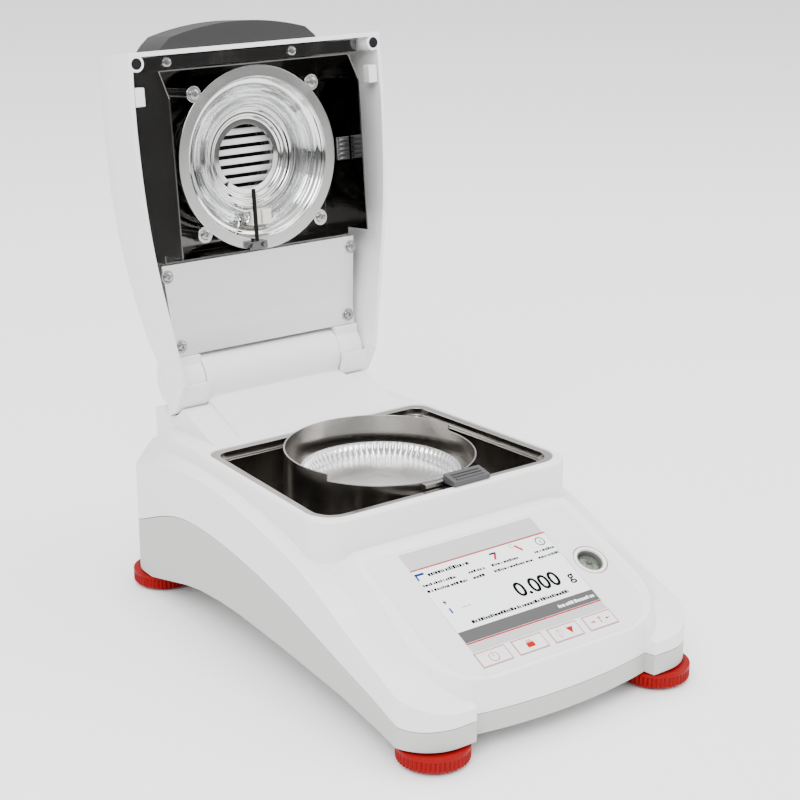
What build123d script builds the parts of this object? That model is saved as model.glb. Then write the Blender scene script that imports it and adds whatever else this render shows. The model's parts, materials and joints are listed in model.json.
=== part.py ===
from build123d import *
from math import sin, cos, radians, pi
import os

os.makedirs("parts", exist_ok=True)

# Driving dimensions, millimetres. +X is the user's right, -Y is the front, +Z is up, the table is z = 0.

# pan, handler and chamber
PAN_Y = -10.5
PAN_RIM_R = 48.2
PAN_RIM_Z = 98.5
PAN_DEPTH = 8.0
PAN_FLOOR_R = 43.4
PAN_SHEET = 0.4
PAN_FLUTES = 60
PAN_FLUTE_DEPTH = 1.5
RING_R = 57.1
RING_SHEET = 1.0
RING_TOP_Z = 112.7
RING_LOW_Z = 108.5
RING_BASE_Z = 77.3
RING_LIP_R = 46.6
RING_LIP_Z = 93.8
RING_CUT_HALF_DEG = 82.0
RING_CUT_CENTRE_DEG = -76.0
FIT = 0.05
GAP = 0.4

RIM_Z = 105.9
FLANGE_Z = 105.4
LINER_SHEET = 1.0
LINER_FRONT_Y = -76.6
LINER_REAR_Y = 56.3
LINER_FRONT_W = 86.9
LINER_REAR_W = 79.7
LINER_CORNER_R = 16.0
LINER_FLOOR_Z = 76.0
LINER_LEDGE_W = 3.5
LINER_STEP_DROP = 4.5
LINER_STEP_W = 3.0
BOX_FRONT_Y = -82.0
BOX_REAR_Y = 116.0
BOX_FRONT_W = 91.6
BOX_REAR_W = 80.5
BOX_FRONT_R = 17.0
BOX_REAR_R = 22.0
BOX_EDGE_R = 2.0

# casing
WALL = 2.8
SPLIT_GAP = 0.5
REAR_Y = 137.5
REAR_W = 92.0
REAR_CORNER_R = 22.0
TOE_W = 101.0
TOE_Y = -162.0
TOE_FRONT_Y = -181.4
TOE_INNER_X = 62.5
TOE_INNER_Y = -174.6
FRONT_BOW_Y = -181.3
SPLIT = [(-200, 24.0), (-182, 23.4), (-164, 23.6), (-147, 28.6), (-119, 36.1), (-90, 43.8),
         (-49, 54.5), (-6, 62.1), (41, 65.7),
         (66, 64.0), (92, 56.7), (118, 46.5), (150, 40.0)]
ARCH = [(-160, 11.9), (-147, 14.6), (-110, 20.1), (-48, 24.8), (-4, 27.1), (19, 27.1), (44, 25.3), (60, 22.8),
        (90, 15.6), (106, 11.9)]
SKIRT_Z = 11.9
FLOOR = 3.0
# station y, shoulder height at the side wall, height of the deck over it
STATIONS = [(-196, 34.5, 37.0), (-164, 39.6, 45.9), (-120, 57.0, 67.9), (-84, 73.0, 85.0), (-61, 81.3, 94.0),
            (-29, 88.4, 98.0), (-7, 92.1, 99.0), (27, 95.9, 99.5), (63, 95.4, 100.0), (102, 88.6, 100.0),
            (125, 79.0, 96.0), (150, 63.0, 84.0)]
DECK_X = 70.0
SECTION_X = 112.0

# front panel, measured up the slope from the lower edge of the keys
PANEL_Y = -170.7
PANEL_Z = 45.6
PANEL_SLOPE = 26.5
PLATEAU_W_LOW = 84.0
PLATEAU_W_TOP = 76.0
PLATEAU_S_LOW = -7.5
PLATEAU_CORNER_R = 34.0
PLATEAU_S_TOP = 92.0
PLATEAU_DROP = 9.0
PLATEAU_FLANK = 9.5
OVERLAY_W = 72.0
OVERLAY_S_LOW = -5.0
OVERLAY_S_TOP = 86.0
OVERLAY_T = 0.6
OVERLAY_CORNER_R = 26.0
OVERLAY_GAP = 0.12
SCREEN_X0 = -49.9
SCREEN_X1 = 45.4
SCREEN_S0 = 17.6
SCREEN_S1 = 71.3
LCD_MARGIN = 3.5
LCD_T = 3.2
KEY_X0 = -50.4
KEY_PITCH = 25.1
KEY_W = 20.4
KEY_H = 9.8
KEY_T = 1.3
KEY_TRAVEL = 0.5
KEY_GAP = 0.3
LEVEL_X = 59.5
LEVEL_S = 44.4
LEVEL_R = 10.0
LEVEL_GLASS_R = 7.6
LEVEL_DEPTH = 9.0

# feet
FOOT_FRONT_X = 79.5
FOOT_FRONT_Y = -165.4
FOOT_REAR_X = 74.6
FOOT_REAR_Y = 120.7
WHEEL_R = 20.0
WHEEL_KNURL = 0.7
WHEEL_KNURLS = 48
WHEEL_Z0 = 2.0
WHEEL_Z1 = 10.6
PAD_R = 15.0
PAD_CAP_R = 4.0
PAD_H = 1.6
STUD_R = 4.0
STUD_TOP_Z = 28.0
NUT_R = 7.5
NUT_Z0 = 15.5
NUT_Z1 = 23.5

# inside and back of the base
BOSS_FOOT_R = 11.0
PORT_Z = 28.0
INLET_X = -48.0
INLET_W = 27.0
INLET_H = 20.0
SERIAL_X = 8.0
SERIAL_W = 20.0
SERIAL_H = 11.0
USB_X = 46.0
USB_W = 13.0
USB_H = 12.0
TRAY_POSTS = [(-60, -130), (60, -130), (-70, 70), (70, 70)]
TRAY_POST_R = 5.0
TRAY_POST_TOP = 30.0
FLOOR_HOLE_R = 14.0
BASE_PLATE_T = 1.0
SUPPORT_ARM = 30.0
POST_Z = 66.0
POST_R = 6.0
CELL_W = 30.0
CELL_Y0 = -24.0
CELL_Y1 = 66.0
CELL_Z0 = 42.0
CELL_Z1 = 66.0
CELL_SLOT_FRONT = 22.0
CELL_SLOT_REAR = 30.0
CELL_SLOT_WALL = 8.0
CELL_HOLE_R = 7.0
BRACKET_Y0 = CELL_Y1 - 24.0
BRACKET_Y1 = CELL_Y1 + 8.0
BRACKET_LIP = 6.0
BRACKET_Z0 = 31.0
BRACKET_W = 26.0
SEAT_RIB_W = 6.0
BOARD_Z = 30.0
BOARD_REAR_Z = 32.0
BOARD_T = 1.6
STANDOFF_R = 3.0
MAIN_POSTS = [(-50, -124), (50, -124), (-50, -82), (50, -82)]
SUPPLY_POSTS = [(-60, 82), (26, 82), (-60, 110), (26, 110)]
KEYPAD_F = 6.0

# lid and hinge
HINGE_Y = 117.5
HINGE_Z = 132.0
LEAN = 5.5
RIM_F = 25.3
PIN_R = 4.0
PIN_X0 = 30.0
PIN_X1 = 66.0
BARREL_R = 16.0
BARREL_W = 50.0
EAR_R = 15.5
EAR_X0 = 50.7
EAR_X1 = 68.0
HEEL_R = 20.0
HEEL_TOP_V = 4.0
HEEL_TANGENT = radians(36)
CHEEK_X = 69.6
SADDLE_R = 21.0
BLOCK_W = 69.0
RISER_FOOT_Y = 60.0
RISER_REAR_Y = 134.0
RISER_BASE_Z = 70.0
LID_WALL = 2.6
# height up the lid, half-width, depth behind the rim, corner radius of the dome
LID_STATIONS = [(2.0, 72.6, 36.0, 20.0), (20.0, 75.6, 52.0, 30.0), (50.0, 80.8, 67.0, 42.0),
                (82.0, 85.8, 74.8, 50.0), (113.0, 88.8, 77.0, 52.0), (145.0, 90.3, 76.0, 52.0),
                (176.0, 90.4, 73.0, 48.0), (206.0, 89.4, 66.0, 44.0)]
LID_END_V = 203.0
BUMPER_X = 84.6
BUMPER_V = LID_END_V - 6.7
BUMPER_R = 3.3
BUMPER_OUT = 0.7
BOSS_R = 4.8
PLATE_F = 9.1
PLATE_V0 = 17.0
PLATE_V1 = 74.0
PLATE_W0 = 66.0
PLATE_W1 = 71.0
PLATE_T = 1.2
SCREW_R = 1.6
SCREW_HEAD_R = 3.2
SCREW_HEAD_T = 1.4
WASHER_R = 4.2
TUB_W = 67.4
TUB_T = 0.8
TUB_V0 = 75.0
TUB_V1 = LID_END_V - 12.0
TUB_SLOPE_V = TUB_V1 - 16.0
TUB_EDGE_F = 30.5
TUB_END_F = 20.4
TUB_BACK_F = -16.0
COLLAR_F = 16.0
SHELF_W = 78.0
SHELF_SCREWS_X = (-60.0, 28.4)
SHELF_SCREWS_V = TUB_V1 + 4.2
PLATE_SCREWS = [(-62.6, 23.0), (62.6, 23.0), (-68.0, 67.0), (68.0, 67.0)]
RING_V = 132.5
RING_F = 15.3
REFL_R = 56.6
REFL_IN_R = 49.6
REFL_HOLE_R = 20.0
REFL_SHEET = 0.8
GRILLE_R = 28.5
GRILLE_SLOT_PITCH = 6.4
GRILLE_SLOTS = 7
SENSOR_X = -7.5
LAMP_R = 37.0
LAMP_TUBE_R = 4.0
LAMP_F = 8.5
EAR_SCREW_R = 60.0
HANDLE_W = 55.0
HANDLE_F0 = -24.0
HANDLE_F1 = 3.0
GRIP_X = 15.0
GRIP_W = 26.0

HINGE = (0, HINGE_Y, HINGE_Z)
LID = Plane(origin=HINGE, x_dir=(1, 0, 0), z_dir=(0, -cos(radians(LEAN)), sin(radians(LEAN))))
LID_SIDE = Plane(origin=HINGE, x_dir=(0, sin(radians(LEAN)), cos(radians(LEAN))), z_dir=(1, 0, 0))
PANEL = Plane(origin=(0, PANEL_Y, PANEL_Z), x_dir=(1, 0, 0),
              z_dir=(0, -sin(radians(PANEL_SLOPE)), cos(radians(PANEL_SLOPE))))
SIDE = Plane(origin=(0, 0, 0), x_dir=(0, 1, 0), z_dir=(1, 0, 0))
WIDE = 130.0
FEET = [(-FOOT_FRONT_X, FOOT_FRONT_Y, "fl"), (FOOT_FRONT_X, FOOT_FRONT_Y, "fr"),
        (-FOOT_REAR_X, FOOT_REAR_Y, "rl"), (FOOT_REAR_X, FOOT_REAR_Y, "rr")]


def plan_outline(inset):
    """Casing from above: round rear corners, toes over the front feet, a bowed front between them."""
    r = REAR_CORNER_R - inset
    w, ry = REAR_W - inset, REAR_Y - inset
    tw, tf = TOE_W - inset, TOE_FRONT_Y + inset
    ix, iy = TOE_INNER_X + inset, TOE_INNER_Y + inset
    c = r * (1 - cos(pi / 4))
    with BuildSketch() as s:
        with BuildLine():
            Line((0, ry), (w - r, ry))
            ThreePointArc((w - r, ry), (w - c, ry - c), (w, ry - r))
            Line((w, ry - r), (tw, TOE_Y))
            ThreePointArc((tw, TOE_Y), (tw - 7.8, TOE_Y - 12.2 + 0.5 * inset), (74.0, tf))
            Line((74.0, tf), (ix + 1.0, tf))
            Line((ix + 1.0, tf), (ix, iy))
            mirror(about=Plane.YZ)
            ThreePointArc((ix, iy), (0, FRONT_BOW_Y + inset), (-ix, iy))
        make_face()
    return s.sketch


def trap(front_y, front_w, rear_y, rear_w, r_front, r_rear):
    """Rounded trapezium, symmetrical about the YZ plane."""
    with BuildSketch() as s:
        with BuildLine():
            Polyline((-front_w, front_y), (front_w, front_y), (rear_w, rear_y), (-rear_w, rear_y), close=True)
        make_face()
        fillet(s.vertices().group_by(Axis.Y)[0], r_front)
        fillet(s.vertices().group_by(Axis.Y)[-1], r_rear)
    return s.sketch


def liner_trap(inset):
    """Liner outline drawn in by an equal amount all round."""
    return trap(LINER_FRONT_Y + inset, LINER_FRONT_W - inset, LINER_REAR_Y - inset, LINER_REAR_W - inset,
                LINER_CORNER_R - inset * 0.8, LINER_CORNER_R * 0.6 - inset * 0.4)


def side_region(upper, lower):
    """Closed side view between a smooth upper line and a straight-sided lower one, both given front to rear."""
    with BuildSketch() as s:
        with BuildLine():
            Spline(*upper)
            Polyline(upper[-1], *reversed(lower), upper[0])
        make_face()
    return s.sketch


def split_line(lift):
    return [(y, z + lift) for y, z in SPLIT]


def arch_line(lift):
    return [(-200, SKIRT_Z + lift)] + [(y, z + lift) for y, z in ARCH] + [(150, SKIRT_Z + lift)]


def deck_body(inset, drop):
    """Upper casing body: a loft of flat-topped sections with sloping shoulders, cut to the plan outline."""
    with BuildPart() as p:
        for y, zs, zd in STATIONS:
            wall = REAR_W + (REAR_Y - REAR_CORNER_R - y) * (TOE_W - REAR_W) / (REAR_Y - REAR_CORNER_R - TOE_Y)
            ze = zs - (zd - zs) / (wall - DECK_X) * (SECTION_X - wall)
            with BuildSketch(Plane(origin=(0, y, 0), x_dir=(1, 0, 0), z_dir=(0, -1, 0))):
                with BuildLine():
                    Polyline((-SECTION_X, 5), (SECTION_X, 5), (SECTION_X, ze - drop), (DECK_X, zd - drop),
                             (-DECK_X, zd - drop), (-SECTION_X, ze - drop), close=True)
                make_face()
        loft()
        with BuildSketch():
            add(plan_outline(inset))
        extrude(amount=150, mode=Mode.INTERSECT)
    return p.part


def box_body(inset, drop):
    """Chamber box, level with the liner and falling away behind it."""
    with BuildPart() as p:
        with BuildSketch(Plane.XY.offset(40)):
            add(trap(BOX_FRONT_Y + inset, BOX_FRONT_W - inset, BOX_REAR_Y - inset, BOX_REAR_W - inset,
                     BOX_FRONT_R - inset, BOX_REAR_R - inset))
        extrude(amount=80)
        with BuildSketch(SIDE):
            with BuildLine():
                Polyline((-100, 30), (-100, RIM_Z - drop), (66, RIM_Z - drop),
                         (100, RIM_Z - 0.8 - drop), (130, RIM_Z - 3.0 - drop),
                         (130, 30), close=True)
            make_face()
        extrude(amount=WIDE, both=True, mode=Mode.INTERSECT)
        if not inset:
            fillet(p.edges().group_by(Axis.Z)[-1], BOX_EDGE_R)
    return p.part


def riser_body(inset):
    """Hinge riser: a wedge behind the chamber that carries the barrel, on a wider block."""
    with BuildPart() as p:
        with BuildSketch(SIDE):
            with BuildLine():
                Polyline((RISER_FOOT_Y, RISER_BASE_Z), (RISER_FOOT_Y + inset * 3, RIM_Z - 1 - inset),
                         (70 + inset, RIM_Z + 2.0 - inset), (98, 118.5 - inset), (108, 119.5 - inset),
                         (RISER_REAR_Y - inset, 112 - inset), (RISER_REAR_Y - inset, RISER_BASE_Z), close=True)
            make_face()
        extrude(amount=BLOCK_W - inset, both=True)
        with BuildSketch(SIDE):
            with BuildLine():
                Polyline((RISER_FOOT_Y - 2, RISER_BASE_Z), (RISER_FOOT_Y + 2 + inset, RIM_Z - inset),
                         (96 + inset, 121.0 - inset), (104 + inset, 122.0 - inset), (104 + inset, HINGE_Z),
                         (HINGE_Y, 135), (RISER_REAR_Y - inset, 125), (RISER_REAR_Y + 2 - inset, RISER_BASE_Z),
                         close=True)
            make_face()
            with Locations((HINGE_Y, HINGE_Z)):
                Circle(BARREL_R - inset)
        extrude(amount=BARREL_W - inset, both=True)
    return p.part


def plateau_body(raise_by):
    """Raised panel with bevelled flanks."""
    with BuildPart() as p:
        for z, grow in ((-PLATEAU_DROP + raise_by, PLATEAU_FLANK), (raise_by, 0.0)):
            with BuildSketch(PANEL.offset(z)):
                with BuildLine():
                    Polyline((-PLATEAU_W_LOW - grow, PLATEAU_S_LOW - grow),
                             (PLATEAU_W_LOW + grow, PLATEAU_S_LOW - grow),
                             (PLATEAU_W_TOP + grow, PLATEAU_S_TOP),
                             (-PLATEAU_W_TOP - grow, PLATEAU_S_TOP), close=True)
                face = make_face()
                fillet(face.vertices().group_by(Axis.Y)[0], PLATEAU_CORNER_R + grow)
        loft(ruled=True)
    return p.part


def overlay_region(grow):
    """Front foil's outline with large rounded lower corners."""
    with BuildSketch() as s:
        with BuildLine():
            Polyline((-OVERLAY_W - grow, OVERLAY_S_LOW - grow), (OVERLAY_W + grow, OVERLAY_S_LOW - grow),
                     (OVERLAY_W + grow, OVERLAY_S_TOP + grow), (-OVERLAY_W - grow, OVERLAY_S_TOP + grow),
                     close=True)
        make_face()
        fillet(s.vertices().group_by(Axis.Y)[0], OVERLAY_CORNER_R + grow)
    return s.sketch


def bar(plane, x0, x1, y0, y1, z0, z1):
    """Rectangular block given by its limits in the axes of a plane."""
    with BuildPart() as p:
        with BuildSketch(plane.offset(z0)):
            with BuildLine():
                Polyline((x0, y0), (x1, y0), (x1, y1), (x0, y1), close=True)
            make_face()
        extrude(amount=z1 - z0)
    return p.part


def rod(plane, x, y, r, z0, z1):
    """Round bar standing on a plane."""
    with BuildPart() as p:
        with BuildSketch(plane.offset(z0)):
            with Locations((x, y)):
                Circle(r)
        extrude(amount=z1 - z0)
    return p.part


def screw_head(plane, x, y, z, hex_r=1.3):
    """Pan-head screw with a hexagon socket, standing up from z with a short shank below."""
    with BuildPart() as p:
        with BuildSketch(plane.offset(z)):
            with Locations((x, y)):
                Circle(SCREW_HEAD_R)
        extrude(amount=SCREW_HEAD_T)
        with BuildSketch(plane.offset(z + SCREW_HEAD_T)):
            with Locations((x, y)):
                RegularPolygon(hex_r, 6)
        extrude(amount=-1.0, mode=Mode.SUBTRACT)
        with BuildSketch(plane.offset(z)):
            with Locations((x, y)):
                Circle(SCREW_R)
        extrude(amount=-4.0)
    return p.part


def star(n, r_out, r_in, turn=0.0):
    """Corner points of an n-pointed star, outer corner first."""
    return [(r * cos(pi * (i + turn) / n), r * sin(pi * (i + turn) / n))
            for i, r in ((k, r_out if k % 2 == 0 else r_in) for k in range(2 * n))]


def lid_body(inset):
    """Domed lid: a loft of round-shouldered sections up the lid, with its far end rounded by a side view."""
    with BuildPart() as p:
        for v, w, depth, r in LID_STATIONS:
            at = LID.from_local_coords((0, v + (inset if v < 10 else 0), 0))
            with BuildSketch(Plane(origin=at, x_dir=(1, 0, 0), z_dir=LID.y_dir)):
                hw, back, rr = w - inset, depth - RIM_F - inset, r - inset
                lip = -RIM_F - (6.0 if inset else 0.0)
                k = rr * (1 - cos(pi / 4))
                with BuildLine():
                    Line((0, lip), (hw, lip))
                    Line((hw, lip), (hw, back - rr))
                    ThreePointArc((hw, back - rr), (hw - k, back - k), (hw - rr, back))
                    Line((hw - rr, back), (0, back))
                    mirror(about=Plane.YZ)
                make_face()
        loft()
        with BuildSketch(LID_SIDE):
            with BuildLine():
                e = LID_END_V - inset
                Polyline((e - 4.5 - inset, -18.0 + inset), (e - 0.8, 12.0), (e, RIM_F + 8),
                         (-10, RIM_F + 8), (-10, -70),
                         (150, -70), (e - 45.0, -55.5 + inset))
                ThreePointArc((e - 45.0, -55.5 + inset), (e - 18.5, -38.5 + inset),
                              (e - 4.5 - inset, -18.0 + inset))
            make_face()
        extrude(amount=WIDE, both=True, mode=Mode.INTERSECT)
    return p.part


feet_holes = [(x, y) for x, y, _ in FEET]

# lower casing: light grey tray with an arched underside, bosses for the levelling feet and openings at the back
tray_inside = extrude(plan_outline(WALL), amount=90) & extrude(
    SIDE * side_region(split_line(5), arch_line(FLOOR)), amount=WIDE, both=True)
whole_plan = extrude(plan_outline(0), amount=150)
above_floor = extrude(SIDE * side_region(split_line(0), arch_line(FLOOR / 2)), amount=WIDE, both=True)
below_split = extrude(SIDE * side_region(split_line(SPLIT_GAP), [(-200, -5), (150, -5)]),
                      amount=WIDE, both=True)
with BuildPart() as bottom_housing:
    with BuildSketch():
        add(plan_outline(0))
    extrude(amount=90)
    with BuildSketch(SIDE):
        add(side_region(split_line(0), arch_line(0)))
    extrude(amount=WIDE, both=True, mode=Mode.INTERSECT)
    add(tray_inside, mode=Mode.SUBTRACT)
    with BuildSketch(Plane.XY.offset(SKIRT_Z + 1)):
        with Locations(*feet_holes):
            Circle(BOSS_FOOT_R)
    extrude(amount=NUT_Z1 - SKIRT_Z - 1)
    with BuildSketch(Plane.XY.offset(NUT_Z0)):
        with Locations(*feet_holes):
            RegularPolygon(NUT_R + GAP, 6)
    extrude(amount=20, mode=Mode.SUBTRACT)
    with BuildSketch(Plane.XY.offset(5)):
        with Locations(*feet_holes):
            Circle(STUD_R + GAP)
    extrude(amount=30, mode=Mode.SUBTRACT)
    with BuildSketch(Plane.XZ.offset(-REAR_Y - 2)):
        with Locations((INLET_X, PORT_Z)):
            Rectangle(INLET_W, INLET_H)
        with Locations((SERIAL_X, PORT_Z)):
            Rectangle(SERIAL_W, SERIAL_H)
        with Locations((USB_X, PORT_Z)):
            Rectangle(USB_W, USB_H)
    extrude(amount=WALL + 4, mode=Mode.SUBTRACT)
    for x, y in TRAY_POSTS:
        add(rod(Plane.XY, x, y, TRAY_POST_R, 0, TRAY_POST_TOP) & above_floor)
    for x, y in MAIN_POSTS:
        add(rod(Plane.XY, x, y, STANDOFF_R, 0, BOARD_Z) & above_floor)
    for x, y in SUPPLY_POSTS:
        add(rod(Plane.XY, x, y, STANDOFF_R, 0, BOARD_REAR_Z) & above_floor)
    for s in (-1, 1):
        x0, x1 = sorted((s * (BRACKET_W - SEAT_RIB_W), s * BRACKET_W))
        add(bar(Plane.XY, x0, x1, BRACKET_Y0, BRACKET_Y1, 0, BRACKET_Z0) & above_floor)
bottom_housing.part.label = "bottom_housing"

# upper casing: sloping deck, chamber box, hinge riser and raised panel in one white moulding
with BuildPart() as top_housing:
    add(deck_body(0, 0))
    add(box_body(0, 0))
    add(riser_body(0))
    add(plateau_body(0) & whole_plan)
    add(deck_body(WALL, WALL), mode=Mode.SUBTRACT)
    add(box_body(WALL, WALL), mode=Mode.SUBTRACT)
    add(riser_body(WALL), mode=Mode.SUBTRACT)
    add(below_split, mode=Mode.SUBTRACT)
    with BuildSketch(Plane.XY.offset(FLANGE_Z - LINER_SHEET)):
        add(liner_trap(-GAP))
    extrude(amount=10, mode=Mode.SUBTRACT)
    with BuildSketch(Plane.XY.offset(90)):
        add(liner_trap(LINER_LEDGE_W - 1.0))
    extrude(amount=20, mode=Mode.SUBTRACT)
    for s in (-1, 1):
        x0, x1 = sorted((s * (BARREL_W + 0.1), s * (BLOCK_W + 6)))
        add(rod(LID_SIDE, 0, 0, SADDLE_R, x0, x1), mode=Mode.SUBTRACT)
        add(rod(LID_SIDE, 0, 0, PIN_R + FIT, *sorted((s * 40, s * 52))), mode=Mode.SUBTRACT)
    with BuildSketch(PANEL.offset(-OVERLAY_T)):
        add(overlay_region(OVERLAY_GAP))
    extrude(amount=OVERLAY_T + 1, mode=Mode.SUBTRACT)
    add(bar(PANEL, SCREEN_X0 - LCD_MARGIN - GAP, SCREEN_X1 + LCD_MARGIN + GAP, SCREEN_S0 - LCD_MARGIN - GAP,
            SCREEN_S1 + LCD_MARGIN + GAP, -20, 1), mode=Mode.SUBTRACT)
    for i in range(4):
        x = KEY_X0 + i * KEY_PITCH
        add(bar(PANEL, x - GAP, x + KEY_W + GAP, -GAP, KEY_H + GAP, -20, 1), mode=Mode.SUBTRACT)
    add(bar(PANEL, KEY_X0 - 4 - GAP, KEY_X0 + 3 * KEY_PITCH + KEY_W + 4 + GAP, -3 - GAP, KEY_H + 1.5 + GAP, -20,
            -KEYPAD_F + 0.8), mode=Mode.SUBTRACT)
    add(rod(PANEL, LEVEL_X, LEVEL_S, LEVEL_R + GAP, -20, 1), mode=Mode.SUBTRACT)
top_housing.part.label = "top_housing"

# stainless liner: flange, step, ledge and deep tub in one sheet
with BuildPart() as chamber_liner:
    for inset, z0, z1 in ((0, FLANGE_Z - LINER_SHEET, FLANGE_Z),
                          (LINER_LEDGE_W, FLANGE_Z - LINER_STEP_DROP - LINER_SHEET, FLANGE_Z - LINER_SHEET),
                          (LINER_LEDGE_W + LINER_STEP_W, LINER_FLOOR_Z - LINER_SHEET,
                           FLANGE_Z - LINER_STEP_DROP - LINER_SHEET)):
        with BuildSketch(Plane.XY.offset(z0)):
            add(liner_trap(inset))
        extrude(amount=z1 - z0)
    for inset, z0, z1 in ((LINER_LEDGE_W + LINER_SHEET, FLANGE_Z - LINER_STEP_DROP, FLANGE_Z + 1),
                          (LINER_LEDGE_W + LINER_STEP_W + LINER_SHEET, LINER_FLOOR_Z, FLANGE_Z)):
        with BuildSketch(Plane.XY.offset(z0)):
            add(liner_trap(inset))
        extrude(amount=z1 - z0, mode=Mode.SUBTRACT)
    with BuildSketch(Plane.XY.offset(LINER_FLOOR_Z - 5)):
        with Locations((0, PAN_Y)):
            Circle(FLOOR_HOLE_R)
    extrude(amount=10, mode=Mode.SUBTRACT)
chamber_liner.part.label = "chamber_liner"

# loose base plate on the chamber floor
with BuildPart() as heat_base_plate:
    with BuildSketch(Plane.XY.offset(LINER_FLOOR_Z)):
        add(liner_trap(LINER_LEDGE_W + LINER_STEP_W + LINER_SHEET + 1.0))
        with Locations((0, PAN_Y)):
            Circle(FLOOR_HOLE_R, mode=Mode.SUBTRACT)
    extrude(amount=BASE_PLATE_T)
heat_base_plate.part.label = "heat_base_plate"

# pan support: hub on the load cell's post, three arms with upturned ends
SUPPORT_TOP_Z = PAN_RIM_Z - PAN_DEPTH - 0.1
with BuildPart() as pan_support:
    with BuildSketch(Plane.XY.offset(SUPPORT_TOP_Z - 4.0)):
        with Locations((0, PAN_Y)):
            Circle(9.0)
            with PolarLocations(SUPPORT_ARM / 2, 3, start_angle=90):
                Rectangle(SUPPORT_ARM, 5.0)
    extrude(amount=2.0)
    with BuildSketch(Plane.XY.offset(SUPPORT_TOP_Z - 2.0)):
        with Locations((0, PAN_Y)):
            with PolarLocations(SUPPORT_ARM - 3.0, 3, start_angle=90):
                Rectangle(5.0, 5.0)
    extrude(amount=2.0)
    with BuildSketch(Plane.XY.offset(POST_Z)):
        with Locations((0, PAN_Y)):
            Circle(POST_R)
    extrude(amount=SUPPORT_TOP_Z - 4.0 - POST_Z)
pan_support.part.label = "pan_support"

# load cell: slotted beam, held at its rear end
with BuildPart() as load_cell:
    add(bar(Plane.XY, -CELL_W / 2, CELL_W / 2, CELL_Y0, CELL_Y1, CELL_Z0, CELL_Z1))
    add(bar(Plane.YZ, CELL_Y0 + CELL_SLOT_FRONT, CELL_Y1 - CELL_SLOT_REAR, CELL_Z0 + CELL_SLOT_WALL,
            CELL_Z1 - CELL_SLOT_WALL, -CELL_W, CELL_W), mode=Mode.SUBTRACT)
    with BuildSketch(Plane.YZ.offset(-CELL_W)):
        with Locations((CELL_Y0 + CELL_SLOT_FRONT, (CELL_Z0 + CELL_Z1) / 2),
                       (CELL_Y1 - CELL_SLOT_REAR, (CELL_Z0 + CELL_Z1) / 2)):
            Circle(CELL_HOLE_R)
    extrude(amount=2 * CELL_W, mode=Mode.SUBTRACT)
load_cell.part.label = "load_cell"

with BuildPart() as load_cell_bracket:
    add(bar(Plane.XY, -BRACKET_W, BRACKET_W, BRACKET_Y0, BRACKET_Y1, BRACKET_Z0, CELL_Z0))
    add(bar(Plane.XY, -BRACKET_W, BRACKET_W, CELL_Y1 + 1, BRACKET_Y1, CELL_Z0, CELL_Z0 + BRACKET_LIP))
load_cell_bracket.part.label = "load_cell_bracket"

# panel parts
with BuildPart() as display_overlay:
    with BuildSketch(PANEL.offset(-OVERLAY_T)):
        add(overlay_region(0))
    extrude(amount=OVERLAY_T)
    add(bar(PANEL, SCREEN_X0 - GAP, SCREEN_X1 + GAP, SCREEN_S0 - GAP, SCREEN_S1 + GAP, -2, 1),
        mode=Mode.SUBTRACT)
    for i in range(4):
        x = KEY_X0 + i * KEY_PITCH
        add(bar(PANEL, x - KEY_GAP, x + KEY_W + KEY_GAP, -KEY_GAP, KEY_H + KEY_GAP, -2, 1), mode=Mode.SUBTRACT)
    add(rod(PANEL, LEVEL_X, LEVEL_S, LEVEL_R + GAP, -2, 1), mode=Mode.SUBTRACT)
display_overlay.part.label = "display_overlay"

with BuildPart() as lcd_screen:
    add(bar(PANEL, SCREEN_X0, SCREEN_X1, SCREEN_S0, SCREEN_S1, -1.6, -0.1))
lcd_screen.part.label = "lcd_screen"

with BuildPart() as lcd_module:
    add(bar(PANEL, SCREEN_X0 - LCD_MARGIN, SCREEN_X1 + LCD_MARGIN,
            SCREEN_S0 - LCD_MARGIN, SCREEN_S1 + LCD_MARGIN,
            -1.6 - LCD_T, -1.6))
lcd_module.part.label = "lcd_module"

with BuildPart() as keypad_board:
    add(bar(PANEL, KEY_X0 - 4, KEY_X0 + 3 * KEY_PITCH + KEY_W + 4, -3, KEY_H + 1.5, -KEYPAD_F - 1.6, -KEYPAD_F))
    for i in range(4):
        add(rod(PANEL, KEY_X0 + i * KEY_PITCH + KEY_W / 2, KEY_H / 2, 2.5, -KEYPAD_F,
                -OVERLAY_T - KEY_T + 0.6 - KEY_TRAVEL - 0.05))
keypad_board.part.label = "keypad_board"

with BuildPart() as level_vial:
    add(rod(PANEL, LEVEL_X, LEVEL_S, LEVEL_GLASS_R - 0.1, -LEVEL_DEPTH, -1.2))
level_vial.part.label = "level_vial"

with BuildPart() as level_ring:
    add(rod(PANEL, LEVEL_X, LEVEL_S, LEVEL_R, -LEVEL_DEPTH - 1.2, 0.2))
    add(rod(PANEL, LEVEL_X, LEVEL_S, LEVEL_GLASS_R + 0.3, -LEVEL_DEPTH, 1), mode=Mode.SUBTRACT)
level_ring.part.label = "level_ring"

# electronics
with BuildPart() as main_board:
    add(bar(Plane.XY, -54, 54, -128, -78, BOARD_Z, BOARD_Z + BOARD_T))
    add(bar(Plane.XY, -30, -8, -110, -92, BOARD_Z + BOARD_T, BOARD_Z + 4.6))
    add(bar(Plane.XY, 6, 40, -116, -104, BOARD_Z + BOARD_T, BOARD_Z + 6.6))
    for x in (-42, -34, 38, 46):
        add(rod(Plane.XY, x, -90, 3.0, BOARD_Z + BOARD_T, BOARD_Z + 9))
main_board.part.label = "main_board"

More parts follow.
